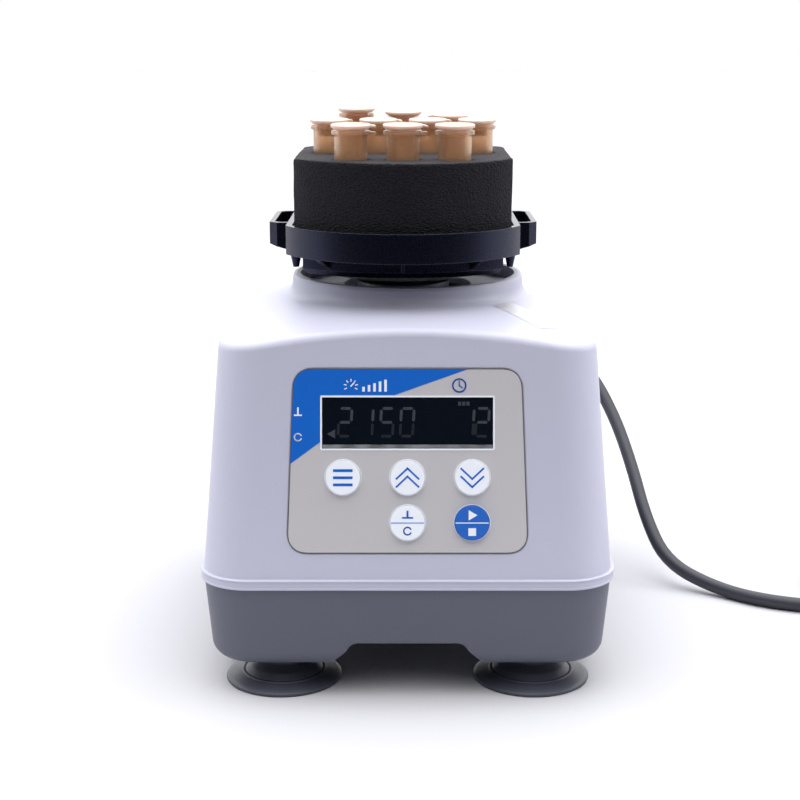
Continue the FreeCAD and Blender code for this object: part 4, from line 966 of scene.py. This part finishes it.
for number, (row, column, turn) in enumerate(RACK, start=1):
    lift = BACK_RISE * (0.5 - column * 0.5) if row == 1 else 0.0
    turn = math.radians(turn)
    foot = Vector((PITCH * column - THROW, ROW * row, TOP - LENGTH + lift)) * MM
    bm = bmesh.new()
    lathe(bm, tube_section, 40, foot)
    strap(bm, turn, foot, [(5.2, 36.7, 0.8), (7.95, 36.7, 0.8)])
    tube = piece(f"tube_{number}_shell", bm, tube_amber, f"tube_{number}", 40)
    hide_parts(f"tube_{number}")
    head = Vector((PITCH * column - THROW, ROW * row, TOP + lift)) * MM
    bm = bmesh.new()
    lathe(bm, lid_section, 40, head)
    strap(bm, turn, head, [(6.2, 0.65, 0.75), (7.0, 0.7, 0.6), (8.05, 0.6, 0.5)])
    front_rim = head + Vector((0, -6.3, 0.1)) * MM
    bmesh.ops.rotate(bm, verts=bm.verts, cent=front_rim, matrix=Matrix.Rotation(LID_LEAN, 3, "X"))
    lid = piece(f"cap_{number}_lid", bm, cap_amber, f"cap_{number}", 40)
    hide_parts(f"cap_{number}")
print("tubes and lids", len(RACK))

# %% [markdown]
# ## The lead
# The mains lead leaves the back through its gland, drops round the right side and lies on the bench,
# then goes out of the picture to a neat coil with the plug across it. Its line is one smooth spline
# through the route that the CAD model settles. A spline of order 3 keeps inside its control points.

# %% The lead's route
COIL = Vector((190, 21, 0))
WIRE = 2.5
REAR_LEAN = math.radians(5)
GLAND_X, GLAND_HEIGHT = 30, 82
first = Vector((GLAND_X, HALF_DEPTH - (GLAND_HEIGHT - SEAM_TOP) * math.tan(REAR_LEAN), GLAND_HEIGHT))
rear_out = Vector((0, math.cos(REAR_LEAN), math.sin(REAR_LEAN)))
route = [first - rear_out * 5, first + rear_out * 24, Vector((42, 117, 83)), Vector((61, 115, 79)),
         Vector((75.5, 101, 69)), Vector((84.5, 84, 53)), Vector((89.5, 64, 37)),
         Vector((92.5, 45, 22)), Vector((98.5, 29, 9)), Vector((115.5, 17, 2.6)), Vector((133, 2, 2.6)),
         Vector((161, -5.2, 2.6))]
# Each turn's radius and height. In its last quarter a turn passes over to the next.
LAYERS = [(32.8, 2.6), (27.5, 2.6), (22.2, 2.6), (24.9, 7.05), (30.1, 7.05), (27.5, 11.5), (32.8, 11.5)]
POINTS_A_TURN, TURNS, FIRST_ANGLE, LAST_QUARTER = 16, 7.04, -105, 0.75
for k in range(int(POINTS_A_TURN * TURNS) + 1):
    turns = k / POINTS_A_TURN
    which = min(int(turns), len(LAYERS) - 1)
    following = LAYERS[min(which + 1, len(LAYERS) - 1)]
    blend = max(0.0, (turns - which - LAST_QUARTER) / (1 - LAST_QUARTER))
    blend = blend * blend * (3 - 2 * blend)
    radius = LAYERS[which][0] * (1 - blend) + following[0] * blend
    height = LAYERS[which][1] * (1 - blend) + following[1] * blend
    angle = math.radians(FIRST_ANGLE + 360 * turns)
    route.append(COIL + Vector((radius * math.cos(angle), radius * math.sin(angle), height)))
TO_PLUG = ((9, -30.5, 13), (15.5, -25, 16), (18.8, -18, 19.5), (19.5, -11, 21.6), (19.5, -4, 21.8))
route += [COIL + Vector(p) for p in TO_PLUG]
print("route of", len(route), "points")

# %% The lead
curve = bpy.data.curves.new("mains_lead", "CURVE")
curve.dimensions = "3D"
spline = curve.splines.new("NURBS")
spline.points.add(len(route) - 1)
for point, at in zip(spline.points, route):
    point.co = (at.x * MM, at.y * MM, at.z * MM, 1)
spline.order_u = 3
spline.use_endpoint_u = True
curve.resolution_u = 6
line = placed("lead_line", curve)
steps = [v.co.copy() for v in evaluated(line).vertices]
curve.bevel_depth = WIRE * MM
curve.bevel_resolution = 5
curve.materials.append(cord_pvc)
line.name = "mains_lead"
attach(line, "housing")
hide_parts("cord_run", "cord_coil")

# %% [markdown]
# ## Strain relief and plug
# The gland is a tapered collar of soft rings that keeps the lead from kinking where it leaves the shell.
# The plug is a moulded body with grip ribs and two round pins.

# %% Gland
gland_turn = Matrix.Rotation(math.pi, 3, "Z") @ Matrix.Rotation(math.pi / 2 - REAR_LEAN, 3, "X")
rings = [(2.6, -3), (8, -3, 0.5), (8, -2.55), (6, -2.55), (6, 0.1), (8.6, 0.1, 0.2), (8.6, 1.6, 0.5)]
for k in range(5):
    reach, height = 8.6 - 0.95 * k, 2.2 + 1.35 * k
    rings += [(reach - 1.3, height - 0.3, 0.2), (reach - 1.3, height + 0.2, 0.2),
              (reach - 0.5, height + 0.4, 0.2), (reach - 0.5, height + 1.0, 0.2)]
rings += [(3.5, 10.2, 0.2), (3.4, 24, 0.4), (2.6, 24)]
bm = bmesh.new()
lathe(bm, rings, 40, closed=True)
for v in bm.verts:
    v.co = gland_turn @ v.co + first * MM
gland = piece("lead_gland", bm, black_nylon, "housing", 40)
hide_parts("cord_gland")
print("gland to", round(max(v.co.y for v in gland.data.vertices), 4))

# %% Plug
def block_ring(bm, half_x, half_z, y, centre, corner=0.35, count=24):
    """A rounded-rectangle ring across the plug."""
    ring = []
    for k in range(count):
        t = 2 * math.pi * k / count
        power = 1 - corner
        c, s = math.cos(t), math.sin(t)
        x = half_x * math.copysign(abs(c) ** power, c)
        z = half_z * math.copysign(abs(s) ** power, s)
        ring.append(bm.verts.new(Vector((centre[0] + x, y, centre[1] + z)) * MM))
    return ring


PLUG = (209.5, 21.8)
RIB_X, FIRST_RIB, RIB_PITCH, RIB_THICK = 10.7, 20.5, 3.2, 1.4
bm = bmesh.new()
# Each station along the plug: its place, and its half width and half height.
stations = [(13.0, 3.4, 3.4), (13.1, 4.6, 4.6), (15.0, 7.5, 6.0), (18.0, 9.6, 7.0), (22.0, 10.6, 7.4),
            (26.0, 10.9, 7.5), (30.0, 10.6, 7.3), (34.0, 10.3, 7.1), (38.0, 10.4, 7.2), (40.4, 10.4, 7.2),
            (41.0, 9.8, 6.6), (41.1, 8.2, 5.7), (44.4, 8.0, 5.5), (44.9, 7.5, 5.0)]
lofted(bm, [block_ring(bm, wide, tall, y, PLUG) for y, wide, tall in stations])
plug = piece("mains_plug_body", bm, black_nylon, "housing", 40)
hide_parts("mains_plug")

bm = bmesh.new()
for x in (-RIB_X, RIB_X):
    for k in range(5):
        y = FIRST_RIB + k * RIB_PITCH
        lofted(bm, [block_ring(bm, 0.5, 4.6, end, (PLUG[0] + x, PLUG[1]), 0.2, 12)
                    for end in (y, y + RIB_THICK)])
piece("plug_grip_ribs", bm, black_nylon, "housing", 40)
print("plug", len(plug.data.polygons), "faces")

# %% [markdown]
# ## The power switch
# The rocker on the back carries the two usual signs, a bar for on and a ring for off, printed on its two
# slopes. They ride on the rocker.

# %% Switch signs
REAR_UP = Vector((0, -math.sin(REAR_LEAN), math.cos(REAR_LEAN)))
ROCKER_X, ROCKER_HEIGHT = -38, 58
rocker_y = HALF_DEPTH - (ROCKER_HEIGHT - SEAM_TOP) * math.tan(REAR_LEAN)
rocker_at = Vector((ROCKER_X, rocker_y, ROCKER_HEIGHT))
# How far out of the wall the rocker's face is: at its middle, its upper end and its lower end.
MIDDLE_OUT, UPPER_OUT, LOWER_OUT, ROCKER_HALF, INK_OUT = -0.4, 0.6, 1.6, 9.2, 0.06


def on_rocker(across, up):
    """A point on the rocker's face: its two slopes meet at the middle."""
    end_out = UPPER_OUT if up > 0 else LOWER_OUT
    out = MIDDLE_OUT + abs(up) / ROCKER_HALF * (end_out - MIDDLE_OUT) + INK_OUT
    return (rocker_at + Vector((-across, 0, 0)) + REAR_UP * up + rear_out * out) * MM


def strip(bm, points, width):
    """A printed line of even width through points on the rocker."""
    for a, b in zip(points, points[1:]):
        a, b = Vector(a), Vector(b)
        side = (b - a).normalized()
        side = Vector((-side.y, side.x)) * width / 2
        bm.faces.new([bm.verts.new(on_rocker(*p)) for p in (a - side, b - side, b + side, a + side)])


bm = bmesh.new()
strip(bm, [(0, 3.4), (0, 6.4)], 0.6)
strip(bm, arc(0, -5.0, 1.5, 0, 360, 24), 0.5)
piece("rocker_signs", bm, ink_white, "rocker")
print("switch signs")

# %% [markdown]
# ## Finishes for the CAD nodes
# The remaining nodes keep their CAD shape and get the finish that their slot names.

# %% Finishes by slot
FINISH = {"housing_white": shell_abs, "base_grey": base_abs, "tray_black": tray_abs,
          "panel_beige": panel_film, "window_dark": glass_dark, "key_white": key_white,
          "key_blue": key_blue, "black_plastic": black_nylon, "switch_black": gloss_black,
          "steel": steel, "aluminium": aluminium, "cast": cast_iron, "brass_pins": brass,
          "board_green": board_green, "cup_rubber": cup_rubber, "tube_amber": tube_amber,
          "foam_black": foam_black, "cord_grey": cord_pvc}
slots = {part["node"]: part["material_slot"] for part in frame["record"]["subparts"]}
for name, part in nodes.items():
    part.data.materials.clear()
    part.data.materials.append(FINISH[slots[name]])
print("finishes on", len(slots), "nodes")

# %% Close
low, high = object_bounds()
